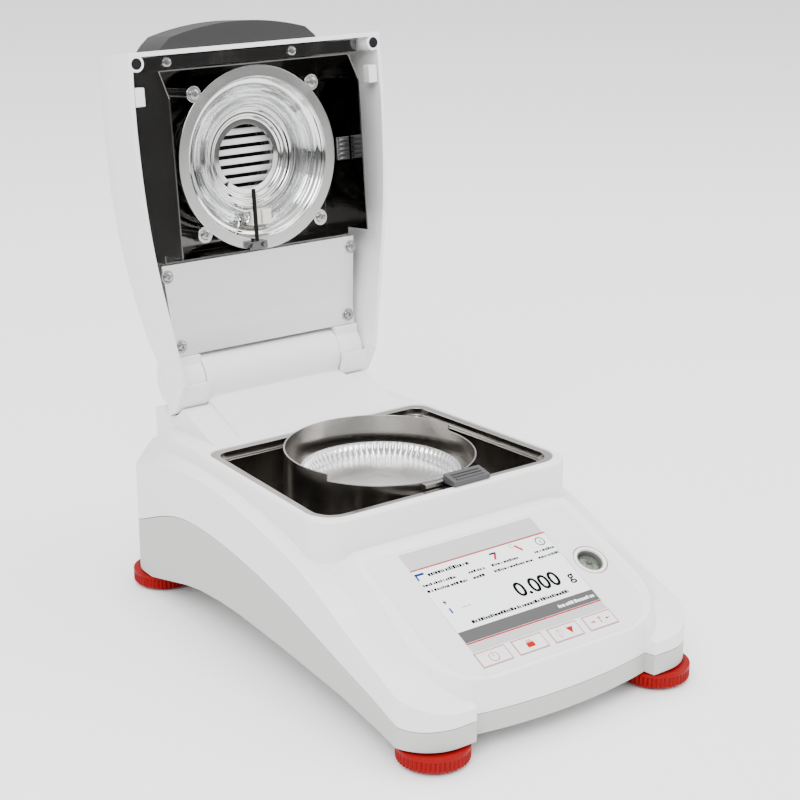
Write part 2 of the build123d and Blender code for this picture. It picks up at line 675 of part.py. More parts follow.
with BuildPart() as power_supply:
    add(bar(Plane.XY, -64, 30, 78, 114, BOARD_REAR_Z, BOARD_REAR_Z + BOARD_T))
    add(bar(Plane.XY, -58, -30, 82, 108, BOARD_REAR_Z + BOARD_T, BOARD_REAR_Z + 20))
    add(bar(Plane.XY, -10, 8, 82, 106, BOARD_REAR_Z + BOARD_T, BOARD_REAR_Z + 14))
power_supply.part.label = "power_supply"

# connectors at the back
with BuildPart() as power_inlet:
    with BuildSketch(Plane.XZ.offset(-REAR_Y)):
        with Locations((INLET_X, PORT_Z)):
            RectangleRounded(INLET_W + 5, INLET_H + 3, 2)
    extrude(amount=-1.6)
    with BuildSketch(Plane.XZ.offset(-REAR_Y)):
        with Locations((INLET_X, PORT_Z)):
            Rectangle(INLET_W - 0.4, INLET_H - 0.4)
    extrude(amount=18)
    with BuildSketch(Plane.XZ.offset(-REAR_Y - 1.6)):
        with Locations((INLET_X, PORT_Z)):
            RectangleRounded(INLET_W - 4, INLET_H - 4, 2.5)
    extrude(amount=15, mode=Mode.SUBTRACT)
    with BuildSketch(Plane.XZ.offset(-REAR_Y + 13.4)):
        with Locations((INLET_X - 7, PORT_Z - 2), (INLET_X + 7, PORT_Z - 2), (INLET_X, PORT_Z + 2)):
            Rectangle(2.0, 4.0)
    extrude(amount=-12)
power_inlet.part.label = "power_inlet"

with BuildPart() as serial_port:
    with BuildSketch(Plane.XZ.offset(-REAR_Y)):
        with Locations((SERIAL_X, PORT_Z)):
            RectangleRounded(SERIAL_W + 11, SERIAL_H + 2, 2)
    extrude(amount=-0.8)
    with BuildSketch(Plane.XZ.offset(-REAR_Y)):
        with Locations((SERIAL_X, PORT_Z)):
            Rectangle(SERIAL_W - 0.4, SERIAL_H - 0.4)
    extrude(amount=12)
    with BuildSketch(Plane.XZ.offset(-REAR_Y - 0.8)):
        with Locations((SERIAL_X, PORT_Z)):
            Trapezoid(SERIAL_W - 1.6, SERIAL_H - 2.4, 100, rotation=180)
    extrude(amount=-5.2)
    with BuildSketch(Plane.XZ.offset(-REAR_Y - 6.0)):
        with Locations((SERIAL_X, PORT_Z)):
            Trapezoid(SERIAL_W - 2.8, SERIAL_H - 3.6, 100, rotation=180)
    extrude(amount=5, mode=Mode.SUBTRACT)
serial_port.part.label = "serial_port"

with BuildPart() as usb_port:
    with BuildSketch(Plane.XZ.offset(-REAR_Y)):
        with Locations((USB_X, PORT_Z)):
            Rectangle(USB_W - 0.4, USB_H - 0.4)
    extrude(amount=14)
    with BuildSketch(Plane.XZ.offset(-REAR_Y)):
        with Locations((USB_X, PORT_Z)):
            Rectangle(USB_W - 2.4, USB_H - 2.4)
    extrude(amount=9, mode=Mode.SUBTRACT)
    with BuildSketch(Plane.XZ.offset(-REAR_Y + 9)):
        with Locations((USB_X, PORT_Z + 1.5)):
            Rectangle(USB_W - 4.4, 2.0)
    extrude(amount=-8)
usb_port.part.label = "usb_port"

with BuildPart() as foot_nuts:
    with BuildSketch(Plane.XY.offset(NUT_Z0)):
        with Locations(*feet_holes):
            RegularPolygon(NUT_R, 6)
            Circle(STUD_R + FIT, mode=Mode.SUBTRACT)
    extrude(amount=NUT_Z1 - NUT_Z0)
foot_nuts.part.label = "foot_nuts"

with BuildPart() as housing_screws:
    for x, y in TRAY_POSTS:
        add(rod(Plane.XY, x, y, 1.5, TRAY_POST_TOP, TRAY_POST_TOP + 8))
        add(rod(Plane.XY, x, y, 3.0, TRAY_POST_TOP, TRAY_POST_TOP + 2))
housing_screws.part.label = "housing_screws"

with BuildPart() as hinge_pins:
    for s in (-1, 1):
        x0, x1 = sorted((s * PIN_X0, s * PIN_X1))
        add(rod(LID_SIDE, 0, 0, PIN_R, x0, x1))
hinge_pins.part.label = "hinge_pins"

# lid shell: domed moulding whose heels close round the hinge ears from below
with BuildPart() as heel_rounding:
    first_v, half_w, deep, corner_r = LID_STATIONS[0]
    below_cup = LID.from_local_coords((0, -HEEL_R - 1, 0))
    with BuildSketch(Plane(origin=below_cup, x_dir=(1, 0, 0), z_dir=LID.y_dir)):
        with BuildLine():
            Polyline((-half_w, -RIM_F), (half_w, -RIM_F), (half_w, deep - RIM_F), (-half_w, deep - RIM_F),
                     close=True)
        heel_face = make_face()
        fillet(heel_face.vertices().group_by(Axis.Y)[-1], corner_r)
    extrude(amount=HEEL_R + 1 + HEEL_TOP_V)
with BuildPart() as heels:
    with BuildSketch(LID_SIDE.offset(-WIDE)):
        with BuildLine():
            Polyline((HEEL_TOP_V, RIM_F), (LID_STATIONS[0][0], RIM_F),
                     (-HEEL_R * sin(HEEL_TANGENT), HEEL_R * cos(HEEL_TANGENT)), (0, 0), (HEEL_TOP_V, 0),
                     close=True)
        make_face()
    extrude(amount=2 * WIDE)
    add(bar(LID, -CHEEK_X, CHEEK_X, -WIDE, WIDE, -WIDE, WIDE), mode=Mode.SUBTRACT)
    add(rod(LID_SIDE, 0, 0, HEEL_R, -WIDE, WIDE) - bar(LID, -CHEEK_X, CHEEK_X, 0, WIDE, -WIDE, WIDE))
    add(heel_rounding.part, mode=Mode.INTERSECT)
    add(bar(LID, -EAR_X0, EAR_X0, -WIDE, WIDE, -WIDE, WIDE), mode=Mode.SUBTRACT)
hub_cut = rod(LID_SIDE, 0, 0, EAR_R + 0.6, -CHEEK_X, CHEEK_X)
mouth = bar(LID, -CHEEK_X, CHEEK_X, -6, 14, -40, 40)
with BuildPart() as lid_shell:
    add(lid_body(0))
    add(lid_body(LID_WALL), mode=Mode.SUBTRACT)
    add(mouth, mode=Mode.SUBTRACT)
    add(heels.part)
    add(hub_cut, mode=Mode.SUBTRACT)
    for s in (-1, 1):
        add(rod(LID, s * BUMPER_X, BUMPER_V, BOSS_R, 8, RIM_F) & lid_body(0))
        add(rod(LID, s * BUMPER_X, BUMPER_V, BUMPER_R + 0.1, 16, RIM_F + 1), mode=Mode.SUBTRACT)
lid_shell.part.label = "lid_shell"

with BuildPart() as lid_handle:
    with BuildSketch(LID.offset(HANDLE_F0)):
        with BuildLine():
            Polyline((-HANDLE_W - 5, 170), (-HANDLE_W - 5, 198), (-HANDLE_W, 204), (-HANDLE_W + 6, 209))
            ThreePointArc((-HANDLE_W + 6, 209), (0, 215.7), (HANDLE_W - 6, 209))
            Polyline((HANDLE_W - 6, 209), (HANDLE_W, 204), (HANDLE_W + 5, 198), (HANDLE_W + 5, 170),
                     (-HANDLE_W - 5, 170))
        make_face()
    extrude(amount=HANDLE_F1 - HANDLE_F0)
    add(lid_body(0), mode=Mode.SUBTRACT)
    add(lid_body(LID_WALL), mode=Mode.SUBTRACT)
lid_handle.part.label = "lid_handle"

# stainless tub round the heater: free side edges reach past the lid's rim, the ends stay short
with BuildPart() as heat_shield_tub:
    with BuildSketch(LID_SIDE.offset(-TUB_W - TUB_T)):
        with BuildLine():
            Polyline((TUB_V0, TUB_BACK_F), (TUB_V0, TUB_EDGE_F), (TUB_SLOPE_V, TUB_EDGE_F), (TUB_V1, TUB_END_F),
                     (TUB_V1, TUB_BACK_F), close=True)
        make_face()
    extrude(amount=2 * (TUB_W + TUB_T))
    add(bar(LID, -TUB_W, TUB_W, TUB_V0 + TUB_T, TUB_V1 - TUB_T, TUB_BACK_F + TUB_T, TUB_EDGE_F + 5),
        mode=Mode.SUBTRACT)
    add(bar(LID, -TUB_W - 5, TUB_W + 5, TUB_V0 - 5, TUB_V0 + 5, PLATE_F, TUB_EDGE_F + 5), mode=Mode.SUBTRACT)
    add(rod(LID, 0, RING_V, REFL_HOLE_R + 1.5, TUB_BACK_F - 1, TUB_BACK_F + 2), mode=Mode.SUBTRACT)
heat_shield_tub.part.label = "heat_shield_tub"

# shelf round the tub at the far end of the lid
with BuildPart() as end_shelf:
    add(bar(LID, -SHELF_W, SHELF_W, TUB_V1 + GAP, LID_END_V - LID_WALL - 1.6, COLLAR_F - 1.2, COLLAR_F))
    for x in SHELF_SCREWS_X:
        add(rod(LID, x, SHELF_SCREWS_V, SCREW_R + 0.2, 10, 20), mode=Mode.SUBTRACT)
end_shelf.part.label = "end_shelf"

# reflector: shallow stepped dish with a flat flange
DISH = [(REFL_R - 0.6, 13.4), (REFL_IN_R, 13.4), (48.2, 10.6), (45.4, 10.0), (44.2, 6.4),
        (41.6, 4.2), (38.0, 2.6), (34.0, 2.0), (32.2, 5.0), (29.8, 5.4), (28.6, 2.4),
        (25.6, 2.8), (24.4, 0.2), (REFL_HOLE_R, 0.6)]
with BuildPart() as reflector:
    with BuildSketch(Plane(origin=LID.from_local_coords((0, RING_V, 0)), x_dir=(1, 0, 0), z_dir=-LID.y_dir)):
        with BuildLine():
            Polyline(*DISH, *[(r, f - REFL_SHEET * 1.2) for r, f in reversed(DISH)], close=True)
        make_face()
    revolve(axis=Axis(LID.from_local_coords((0, RING_V, 0)), LID.z_dir))
    for s in (-1, 1):
        add(rod(LID, s * 3.9, RING_V - LAMP_R, 2.2, -10, 10), mode=Mode.SUBTRACT)
reflector.part.label = "reflector"

with BuildPart() as reflector_ring:
    with BuildSketch(LID.offset(13.5)):
        with Locations((0, RING_V)):
            Circle(REFL_R)
            with PolarLocations(EAR_SCREW_R, 4, start_angle=45):
                Circle(5.0)
            Circle(REFL_IN_R, mode=Mode.SUBTRACT)
    extrude(amount=RING_F - 13.5)
    with BuildSketch(LID.offset(12)):
        with Locations((0, RING_V)):
            with PolarLocations(EAR_SCREW_R, 4, start_angle=45):
                Circle(SCREW_R + 0.2)
    extrude(amount=5, mode=Mode.SUBTRACT)
reflector_ring.part.label = "reflector_ring"

with BuildPart() as ring_screws:
    for i in range(4):
        a = radians(45 + 90 * i)
        add(screw_head(LID, EAR_SCREW_R * cos(a), RING_V + EAR_SCREW_R * sin(a), RING_F))
ring_screws.part.label = "ring_screws"

with BuildPart() as ring_posts:
    for i in range(4):
        a = radians(45 + 90 * i)
        add(rod(LID, EAR_SCREW_R * cos(a), RING_V + EAR_SCREW_R * sin(a), 3.2, TUB_BACK_F + TUB_T, 11.3))
ring_posts.part.label = "ring_posts"

# ring lamp: a glass tube bent to an open circle, with two ceramic holders at its ends
with BuildPart() as lamp_tube:
    lamp_plane = LID.offset(LAMP_F)
    with BuildLine(lamp_plane.shift_origin(lamp_plane.from_local_coords((0, RING_V, 0)))) as lamp_line:
        CenterArc((0, 0), LAMP_R, -76.5, 333)
    with BuildSketch(Plane(origin=lamp_line.line @ 0, z_dir=lamp_line.line % 0)):
        Circle(LAMP_TUBE_R)
    sweep()
lamp_tube.part.label = "lamp_tube"

with BuildPart() as lamp_holders:
    for s in (-1, 1):
        x0, x1 = sorted((s * 0.6, s * 7.2))
        add(bar(LID, x0, x1, RING_V - LAMP_R - 4.6, RING_V - LAMP_R + 4.6, 5.6, 13.2))
        add(rod(LID, s * 3.9, RING_V - LAMP_R, 1.6, -12, 5.6))
lamp_holders.part.label = "lamp_holders"

# slotted vent plate behind the reflector's hole, standing on the tub's back by its collar
with BuildPart() as vent_grille:
    with BuildSketch(LID.offset(TUB_BACK_F + TUB_T)):
        with Locations((0, RING_V)):
            Circle(GRILLE_R)
            Circle(GRILLE_R - 1.0, mode=Mode.SUBTRACT)
    extrude(amount=-TUB_BACK_F - TUB_T - 7.5)
    with BuildSketch(LID.offset(-8.0)):
        with Locations((0, RING_V)):
            Circle(GRILLE_R)
            with GridLocations(0, GRILLE_SLOT_PITCH, 1, GRILLE_SLOTS):
                Rectangle(34.0, 2.6, mode=Mode.SUBTRACT)
    extrude(amount=1.2)
vent_grille.part.label = "vent_grille"

with BuildPart() as temp_sensor:
    sensor_root = LID.from_local_coords((SENSOR_X, 81.9, 17.8))
    with BuildSketch(Plane(origin=sensor_root, x_dir=(1, 0, 0), z_dir=LID.y_dir)):
        Circle(1.3)
    extrude(amount=32.4)
temp_sensor.part.label = "temp_sensor"

with BuildPart() as sensor_bracket:
    add(bar(LID, SENSOR_X - 6.5, SENSOR_X + 6.5, 76.8, 81.8, RING_F, RING_F + 4.0))
    for s in (-4.1, 4.1):
        add(rod(LID, SENSOR_X + s, 79.3, 1.6, RING_F + 4.0, RING_F + 5.6))
sensor_bracket.part.label = "sensor_bracket"

with BuildPart() as ring_clip:
    add(bar(LID, 57.4, 66.8, 124.5, 139.0, RING_F, RING_F + 2.0))
    for k in range(5):
        add(bar(LID, 58.4, 65.8, 125.3 + 2.9 * k, 126.9 + 2.9 * k, RING_F + 2.0, RING_F + 3.4))
ring_clip.part.label = "ring_clip"

# brushed plate between the tub and the hinge
with BuildPart() as lower_plate:
    with BuildSketch(LID.offset(PLATE_F - PLATE_T)):
        with BuildLine():
            Polyline((-PLATE_W0, PLATE_V0), (PLATE_W0, PLATE_V0), (PLATE_W1, PLATE_V1), (-PLATE_W1, PLATE_V1),
                     close=True)
        make_face()
        with Locations(*PLATE_SCREWS):
            Circle(SCREW_R + 0.2, mode=Mode.SUBTRACT)
    extrude(amount=PLATE_T)
lower_plate.part.label = "lower_plate"

with BuildPart() as plate_screws:
    for x, v in PLATE_SCREWS:
        add(rod(LID, x, v, WASHER_R, PLATE_F, PLATE_F + 0.5))
        add(screw_head(LID, x, v, PLATE_F + 0.5))
plate_screws.part.label = "plate_screws"

with BuildPart() as shelf_screws:
    for x in SHELF_SCREWS_X:
        add(screw_head(LID, x, SHELF_SCREWS_V, COLLAR_F))
shelf_screws.part.label = "shelf_screws"

# hinge ears: round hubs that turn on the pins, running up under the plate
ears = []
for s, name in ((-1, "hinge_ear_left"), (1, "hinge_ear_right")):
    x0, x1 = sorted((s * EAR_X0, s * EAR_X1))
    with BuildPart() as ear:
        add(rod(LID_SIDE, 0, 0, EAR_R, x0, x1))
        add(bar(LID, x0, x1, 0, 44.0, -8.0, PLATE_F - PLATE_T - 0.05))
        add(bar(LID, x0, x1, 0, PLATE_V0 - 0.4, 0, PLATE_F + 2))
        add(rod(LID_SIDE, 0, 0, PIN_R + FIT, -EAR_X1 - 1, EAR_X1 + 1), mode=Mode.SUBTRACT)
        add(bar(LID, x0 - 1, x1 + 1, PLATE_V0 - 0.3, 60, PLATE_F - PLATE_T - 0.05, 30), mode=Mode.SUBTRACT)
        add(rod(LID, s * PLATE_SCREWS[1][0], PLATE_SCREWS[1][1], SCREW_R + FIT, 0, 20), mode=Mode.SUBTRACT)
    ear.part.label = name
    ears.append(ear)

with BuildPart() as bumpers:
    for s in (-1, 1):
        add(rod(LID, s * BUMPER_X, BUMPER_V, BUMPER_R, 17.0, RIM_F + BUMPER_OUT - 0.4))
bumpers.part.label = "bumpers"

with BuildPart() as lid_pads:
    for s in (-1, 1):
        x0, x1 = sorted((s * 80.4, s * 86.8))
        add(bar(LID, x0, x1, 171.5, 182.5, 18.0, RIM_F - 0.8))
lid_pads.part.label = "lid_pads"

# handler and pan
PAN_AT = Plane(origin=(0, PAN_Y, 0), x_dir=(1, 0, 0), z_dir=(0, 0, 1))
with BuildPart() as handler_ring:
    with BuildSketch(PAN_AT.offset(RING_BASE_Z)):
        Circle(RING_R)
        Circle(RING_R - RING_SHEET, mode=Mode.SUBTRACT)
    extrude(amount=RING_TOP_Z - RING_BASE_Z)
    with BuildSketch(PAN_AT.offset(RING_LIP_Z - 1.0)):
        Circle(RING_R - RING_SHEET / 2)
        Circle(RING_LIP_R, mode=Mode.SUBTRACT)
    extrude(amount=1.0)
    with BuildSketch(PAN_AT.offset(RING_LOW_Z)):
        with BuildLine():
            far = 2 * RING_R
            a0 = radians(RING_CUT_CENTRE_DEG - RING_CUT_HALF_DEG)
            a1 = radians(RING_CUT_CENTRE_DEG + RING_CUT_HALF_DEG)
            am = radians(RING_CUT_CENTRE_DEG)
            Polyline((0, 0), (far * cos(a0), far * sin(a0)), (2 * far * cos(am), 2 * far * sin(am)),
                     (far * cos(a1), far * sin(a1)), (0, 0))
        make_face()
    extrude(amount=20, mode=Mode.SUBTRACT)
handler_ring.part.label = "handler_ring"

with BuildPart() as handler_tab:
    add(bar(Plane.XY, GRIP_X - GRIP_W / 2 - 14, GRIP_X + GRIP_W / 2, -70.6, -58.0, 101.6, RIM_Z + 0.3))
    add(bar(Plane.XY, GRIP_X - GRIP_W / 2 - 14, GRIP_X - GRIP_W / 2 - 0.2, -70.6, -64.0, 101.6,
            RING_LOW_Z - 0.3))
    add(bar(Plane.XY, GRIP_X - GRIP_W / 2 + 2, GRIP_X + GRIP_W / 2 - 2, -76, -68.6, RIM_Z + 0.3, RIM_Z + 1.7))
    add(rod(Plane.XY, 0, PAN_Y, RING_R, 90, 120), mode=Mode.SUBTRACT)
handler_tab.part.label = "handler_tab"

with BuildPart() as handler_grip:
    with BuildSketch(SIDE.offset(GRIP_X - GRIP_W / 2)):
        with BuildLine():
            Polyline((-79.0, RIM_Z + 0.4), (-79.0, RIM_Z + 3.2), (-72.0, 110.6), (-68.4, 111.4),
                     (-68.4, RIM_Z + 0.4),
                     close=True)
        make_face()
    extrude(amount=GRIP_W)
    for k in range(3):
        y = -77.4 + 2.6 * k
        z = RIM_Z + 3.2 + (y + 79.0) * 1.5 / 7.0
        add(bar(Plane.XY, GRIP_X - GRIP_W / 2 + 3, GRIP_X + GRIP_W / 2 - 3, y, y + 1.2, z, z + 0.9))
    add(bar(Plane.XY, GRIP_X - GRIP_W / 2 + 1.9, GRIP_X + GRIP_W / 2 - 1.9, -76.1, -60,
            RIM_Z + 0.2, RIM_Z + 1.75),
        mode=Mode.SUBTRACT)
handler_grip.part.label = "handler_grip"

# fluted pan: star-shaped rim drawn down to a round floor, with a rolled edge
with BuildPart() as sample_pan:
    for k, mode in ((0.0, Mode.ADD), (PAN_SHEET, Mode.SUBTRACT)):
        floor_z = PAN_RIM_Z - PAN_DEPTH + k
        with BuildSketch(PAN_AT.offset(floor_z)):
            Polygon(*star(PAN_FLUTES, PAN_FLOOR_R - k, PAN_FLOOR_R - k), align=None)
        with BuildSketch(PAN_AT.offset(PAN_RIM_Z)):
            Polygon(*star(PAN_FLUTES, PAN_RIM_R - k - 0.6, PAN_RIM_R - k - 0.6 - PAN_FLUTE_DEPTH), align=None)
        loft(ruled=True, mode=mode)
    with BuildSketch(PAN_AT.offset(PAN_RIM_Z - 0.5)):
        Circle(PAN_RIM_R)
        Circle(PAN_RIM_R - 1.2, mode=Mode.SUBTRACT)
    extrude(amount=0.5)
sample_pan.part.label = "sample_pan"

# keys
keys = []
for i in range(4):
    x = KEY_X0 + i * KEY_PITCH
    with BuildPart() as key:
        add(bar(PANEL, x, x + KEY_W, 0, KEY_H, -OVERLAY_T - KEY_T + 0.6, 0.3))
    key.part.label = "key_%d" % (i + 1)
    keys.append(key)

# levelling feet
pads, wheels = [], []
for x, y, name in FEET:
    foot_at = Plane(origin=(x, y, 0), x_dir=(1, 0, 0), z_dir=(0, 0, 1))
    with BuildPart() as pad:
        with BuildSketch(foot_at):
            Circle(PAD_R)
        extrude(amount=PAD_H)
        with BuildSketch(foot_at.offset(PAD_H)):
            Circle(PAD_CAP_R)
        extrude(amount=3.0)
    pad.part.label = "foot_pad_" + name
    pads.append(pad)
    with BuildPart() as wheel:
        with BuildSketch(foot_at.offset(WHEEL_Z0)):
            Polygon(*star(WHEEL_KNURLS, WHEEL_R, WHEEL_R - WHEEL_KNURL), align=None)
            Circle(PAD_CAP_R + FIT, mode=Mode.SUBTRACT)
        extrude(amount=WHEEL_Z1 - WHEEL_Z0)
        with BuildSketch(foot_at.offset(PAD_H + 3.4)):
            Circle(STUD_R)
            Circle(PAD_CAP_R + FIT)
        extrude(amount=WHEEL_Z1 - PAD_H - 3.4)
        with BuildSketch(foot_at.offset(WHEEL_Z1)):
            Circle(STUD_R)
        extrude(amount=STUD_TOP_Z - WHEEL_Z1)
    wheel.part.label = "foot_wheel_" + name
    wheels.append(wheel)

nodes = [bottom_housing, top_housing, chamber_liner, heat_base_plate, pan_support, load_cell, load_cell_bracket,
         display_overlay, lcd_screen, lcd_module, keypad_board, level_vial, level_ring,
         main_board, power_supply,
         power_inlet, serial_port, usb_port, foot_nuts, housing_screws, hinge_pins, lid_shell, lid_handle,
         heat_shield_tub, end_shelf, reflector, reflector_ring, ring_screws, ring_posts,
         lamp_tube, lamp_holders,
         vent_grille, temp_sensor, sensor_bracket, ring_clip, lower_plate, plate_screws, shelf_screws, bumpers,
         lid_pads, handler_ring, handler_tab, handler_grip, sample_pan] + ears + keys + pads + wheels
for n in nodes:
    export_step(n.part, "parts/" + n.part.label + ".step")
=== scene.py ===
import json
import math

import bmesh
import bpy
from mathutils import Matrix, Vector


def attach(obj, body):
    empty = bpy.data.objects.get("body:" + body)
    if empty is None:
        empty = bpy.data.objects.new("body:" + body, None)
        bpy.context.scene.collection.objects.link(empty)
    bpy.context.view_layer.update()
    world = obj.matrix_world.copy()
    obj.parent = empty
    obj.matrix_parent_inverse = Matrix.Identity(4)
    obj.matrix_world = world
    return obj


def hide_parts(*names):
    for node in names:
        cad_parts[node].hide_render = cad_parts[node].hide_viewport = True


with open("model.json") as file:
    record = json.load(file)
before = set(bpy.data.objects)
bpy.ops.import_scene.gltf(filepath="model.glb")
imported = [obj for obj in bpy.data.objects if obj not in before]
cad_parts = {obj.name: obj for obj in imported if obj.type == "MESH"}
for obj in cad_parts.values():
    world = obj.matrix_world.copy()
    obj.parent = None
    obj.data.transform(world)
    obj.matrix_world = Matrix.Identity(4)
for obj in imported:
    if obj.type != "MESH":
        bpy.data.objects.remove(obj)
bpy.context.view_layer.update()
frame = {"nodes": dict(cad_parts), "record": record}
nodes = frame["nodes"]
record = frame["record"]
slot_of = {s["node"]: s["material_slot"] for s in record["subparts"]}
body_of = {n: b for b, ns in record["behaviour"]["bodies"].items() for n in ns}
MM = 0.001

# Places, millimetres, in the same frame as the solids: +X right, -Y front, +Z up.
PAN_Y, PAN_RIM_R, PAN_RIM_Z, PAN_DEPTH, PAN_FLOOR_R = -10.5, 48.2, 98.5, 8.0, 43.4
HINGE = Vector((0.0, 117.5, 132.0))
LEAN = math.radians(5.5)
PANEL_AT = Vector((0.0, -170.7, 45.6))
PANEL_SLOPE = math.radians(26.5)
SCREEN_X0, SCREEN_X1, SCREEN_S0, SCREEN_S1 = -49.9, 45.4, 17.6, 71.3
KEY_X0, KEY_PITCH, KEY_W, KEY_H = -50.4, 25.1, 20.4, 9.8
FILM_TOP, SCREEN_TOP, KEY_TOP = 0.04, -0.06, 0.34
LEVEL_X, LEVEL_S, LEVEL_R = 59.5, 44.4, 10.0
RING_V, REFL_R, REFL_IN_R, REFL_HOLE_R = 132.5, 56.6, 49.6, 20.0
LAMP_R, LAMP_F, LAMP_TUBE_R = 37.0, 8.5, 4.0
LAMP_START, LAMP_SWEEP = math.radians(-77.5), math.radians(335)
GRILLE_F, GRILLE_OUT_R, GRILLE_IN_R, GRILLE_SLATS, GRILLE_PITCH = -7.4, 28.5, 26.2, 8, 6.1
CLIP_X, CLIP_V, CLIP_F, CLIP_RIBS, CLIP_PITCH = 62.1, 131.75, 16.3, 5, 2.9
GRIP_AT, GRIP_RIBS, GRIP_PITCH = (15.0, -76.8, 110.0), 3, 2.6
RING_SCREW_R, RING_SCREW_F = 60.0, 15.3
PLATE_SCREWS = ((-62.6, 23.0, 9.1), (62.6, 23.0, 9.1), (-68.0, 67.0, 9.1), (68.0, 67.0, 9.1))
SHELF_SCREWS = ((-60.0, 195.2, 16.0), (28.4, 195.2, 16.0))
FEET = {"fl": (-79.5, -165.4), "fr": (79.5, -165.4), "rl": (-74.6, 120.7), "rr": (74.6, 120.7)}
WHEEL_R, WHEEL_LOW, WHEEL_TOP, WHEEL_BAND_Z = 20.0, 2.0, 10.6, 8.35
STUD_R, STUD_TOP, THREAD_FROM, THREAD_TO, THREAD_PITCH = 4.0, 28.0, 11.6, 26.4, 1.25

# Axes of the open lid (across, up the lid, out of it) and of the sloping panel (across, up it, out of it).
LID = Matrix.Translation(HINGE) @ Matrix((
    (1, 0, 0, 0), (0, math.sin(LEAN), -math.cos(LEAN), 0),
    (0, math.cos(LEAN), math.sin(LEAN), 0), (0, 0, 0, 1)))
PANEL = Matrix.Translation(PANEL_AT) @ Matrix((
    (1, 0, 0, 0), (0, math.cos(PANEL_SLOPE), -math.sin(PANEL_SLOPE), 0),
    (0, math.sin(PANEL_SLOPE), math.cos(PANEL_SLOPE), 0), (0, 0, 0, 1)))


# Shader groups shared by the finishes

def new_group(name, inputs, outputs):
    tree = bpy.data.node_groups.new(name, "ShaderNodeTree")
    for label, kind, value in inputs:
        socket = tree.interface.new_socket(name=label, in_out="INPUT", socket_type=kind)
        socket.default_value = value
    for label, kind in outputs:
        tree.interface.new_socket(name=label, in_out="OUTPUT", socket_type=kind)
    return tree, tree.nodes.new("NodeGroupInput"), tree.nodes.new("NodeGroupOutput")


FLOAT, VECTOR = "NodeSocketFloat", "NodeSocketVector"


def math_node(tree, operation, a, b=None, clamp=False):
    node = tree.nodes.new("ShaderNodeMath")
    node.operation = operation
    node.use_clamp = clamp
    for i, value in enumerate((a, b)):
        if value is None:
            continue
        if isinstance(value, (int, float)):
            node.inputs[i].default_value = value
        else:
            tree.links.new(value, node.inputs[i])
    return node.outputs[0]


def object_coords(tree):
    return tree.nodes.new("ShaderNodeTexCoord").outputs["Object"]


def noise_node(tree, vector, scale, detail=3.0, rough=0.5, distortion=0.0):
    node = tree.nodes.new("ShaderNodeTexNoise")
    node.inputs["Detail"].default_value = detail
    node.inputs["Roughness"].default_value = rough
    node.inputs["Distortion"].default_value = distortion
    tree.links.new(vector, node.inputs["Vector"])
    if isinstance(scale, (int, float)):
        node.inputs["Scale"].default_value = scale
    else:
        tree.links.new(scale, node.inputs["Scale"])
    return node.outputs["Fac"]


def moulded_grain_group():
    """Fine spark-eroded texture of moulded plastic, with a slow drift in tone."""
    tree, inp, out = new_group("moulded_grain", [("Grain Scale", FLOAT, 1500.0), ("Drift Scale", FLOAT, 9.0)],
                               [("Height", FLOAT), ("Drift", FLOAT)])
    where = object_coords(tree)
    fine = noise_node(tree, where, inp.outputs["Grain Scale"], 2.0, 0.6)
    coarse = noise_node(tree, where, math_node(tree, "MULTIPLY", inp.outputs["Grain Scale"], 0.37), 1.0)
    tree.links.new(math_node(tree, "ADD", math_node(tree, "MULTIPLY", fine, 0.65),
                             math_node(tree, "MULTIPLY", coarse, 0.35)), out.inputs["Height"])
    tree.links.new(noise_node(tree, where, inp.outputs["Drift Scale"], 2.0), out.inputs["Drift"])
    return tree


def brushed_grain_group():
    """Fine parallel scratches left by brushing or rolling. Stretch is small along the scratches."""
    tree, inp, out = new_group("brushed_grain",
                               [("Stretch", VECTOR, (8.0, 900.0, 900.0)), ("Turn", VECTOR, (0, 0, 0))],
                               [("Height", FLOAT), ("Streak", FLOAT)])
    where = object_coords(tree)
    turned = tree.nodes.new("ShaderNodeVectorRotate")
    turned.rotation_type = "EULER_XYZ"
    tree.links.new(where, turned.inputs["Vector"])
    tree.links.new(inp.outputs["Turn"], turned.inputs["Rotation"])
    stretched = tree.nodes.new("ShaderNodeVectorMath")
    stretched.operation = "MULTIPLY"
    tree.links.new(turned.outputs[0], stretched.inputs[0])
    tree.links.new(inp.outputs["Stretch"], stretched.inputs[1])
    tree.links.new(noise_node(tree, stretched.outputs[0], 1.0, 4.0, 0.65), out.inputs["Height"])
    tree.links.new(noise_node(tree, stretched.outputs[0], 0.21, 3.0, 0.6), out.inputs["Streak"])
    return tree


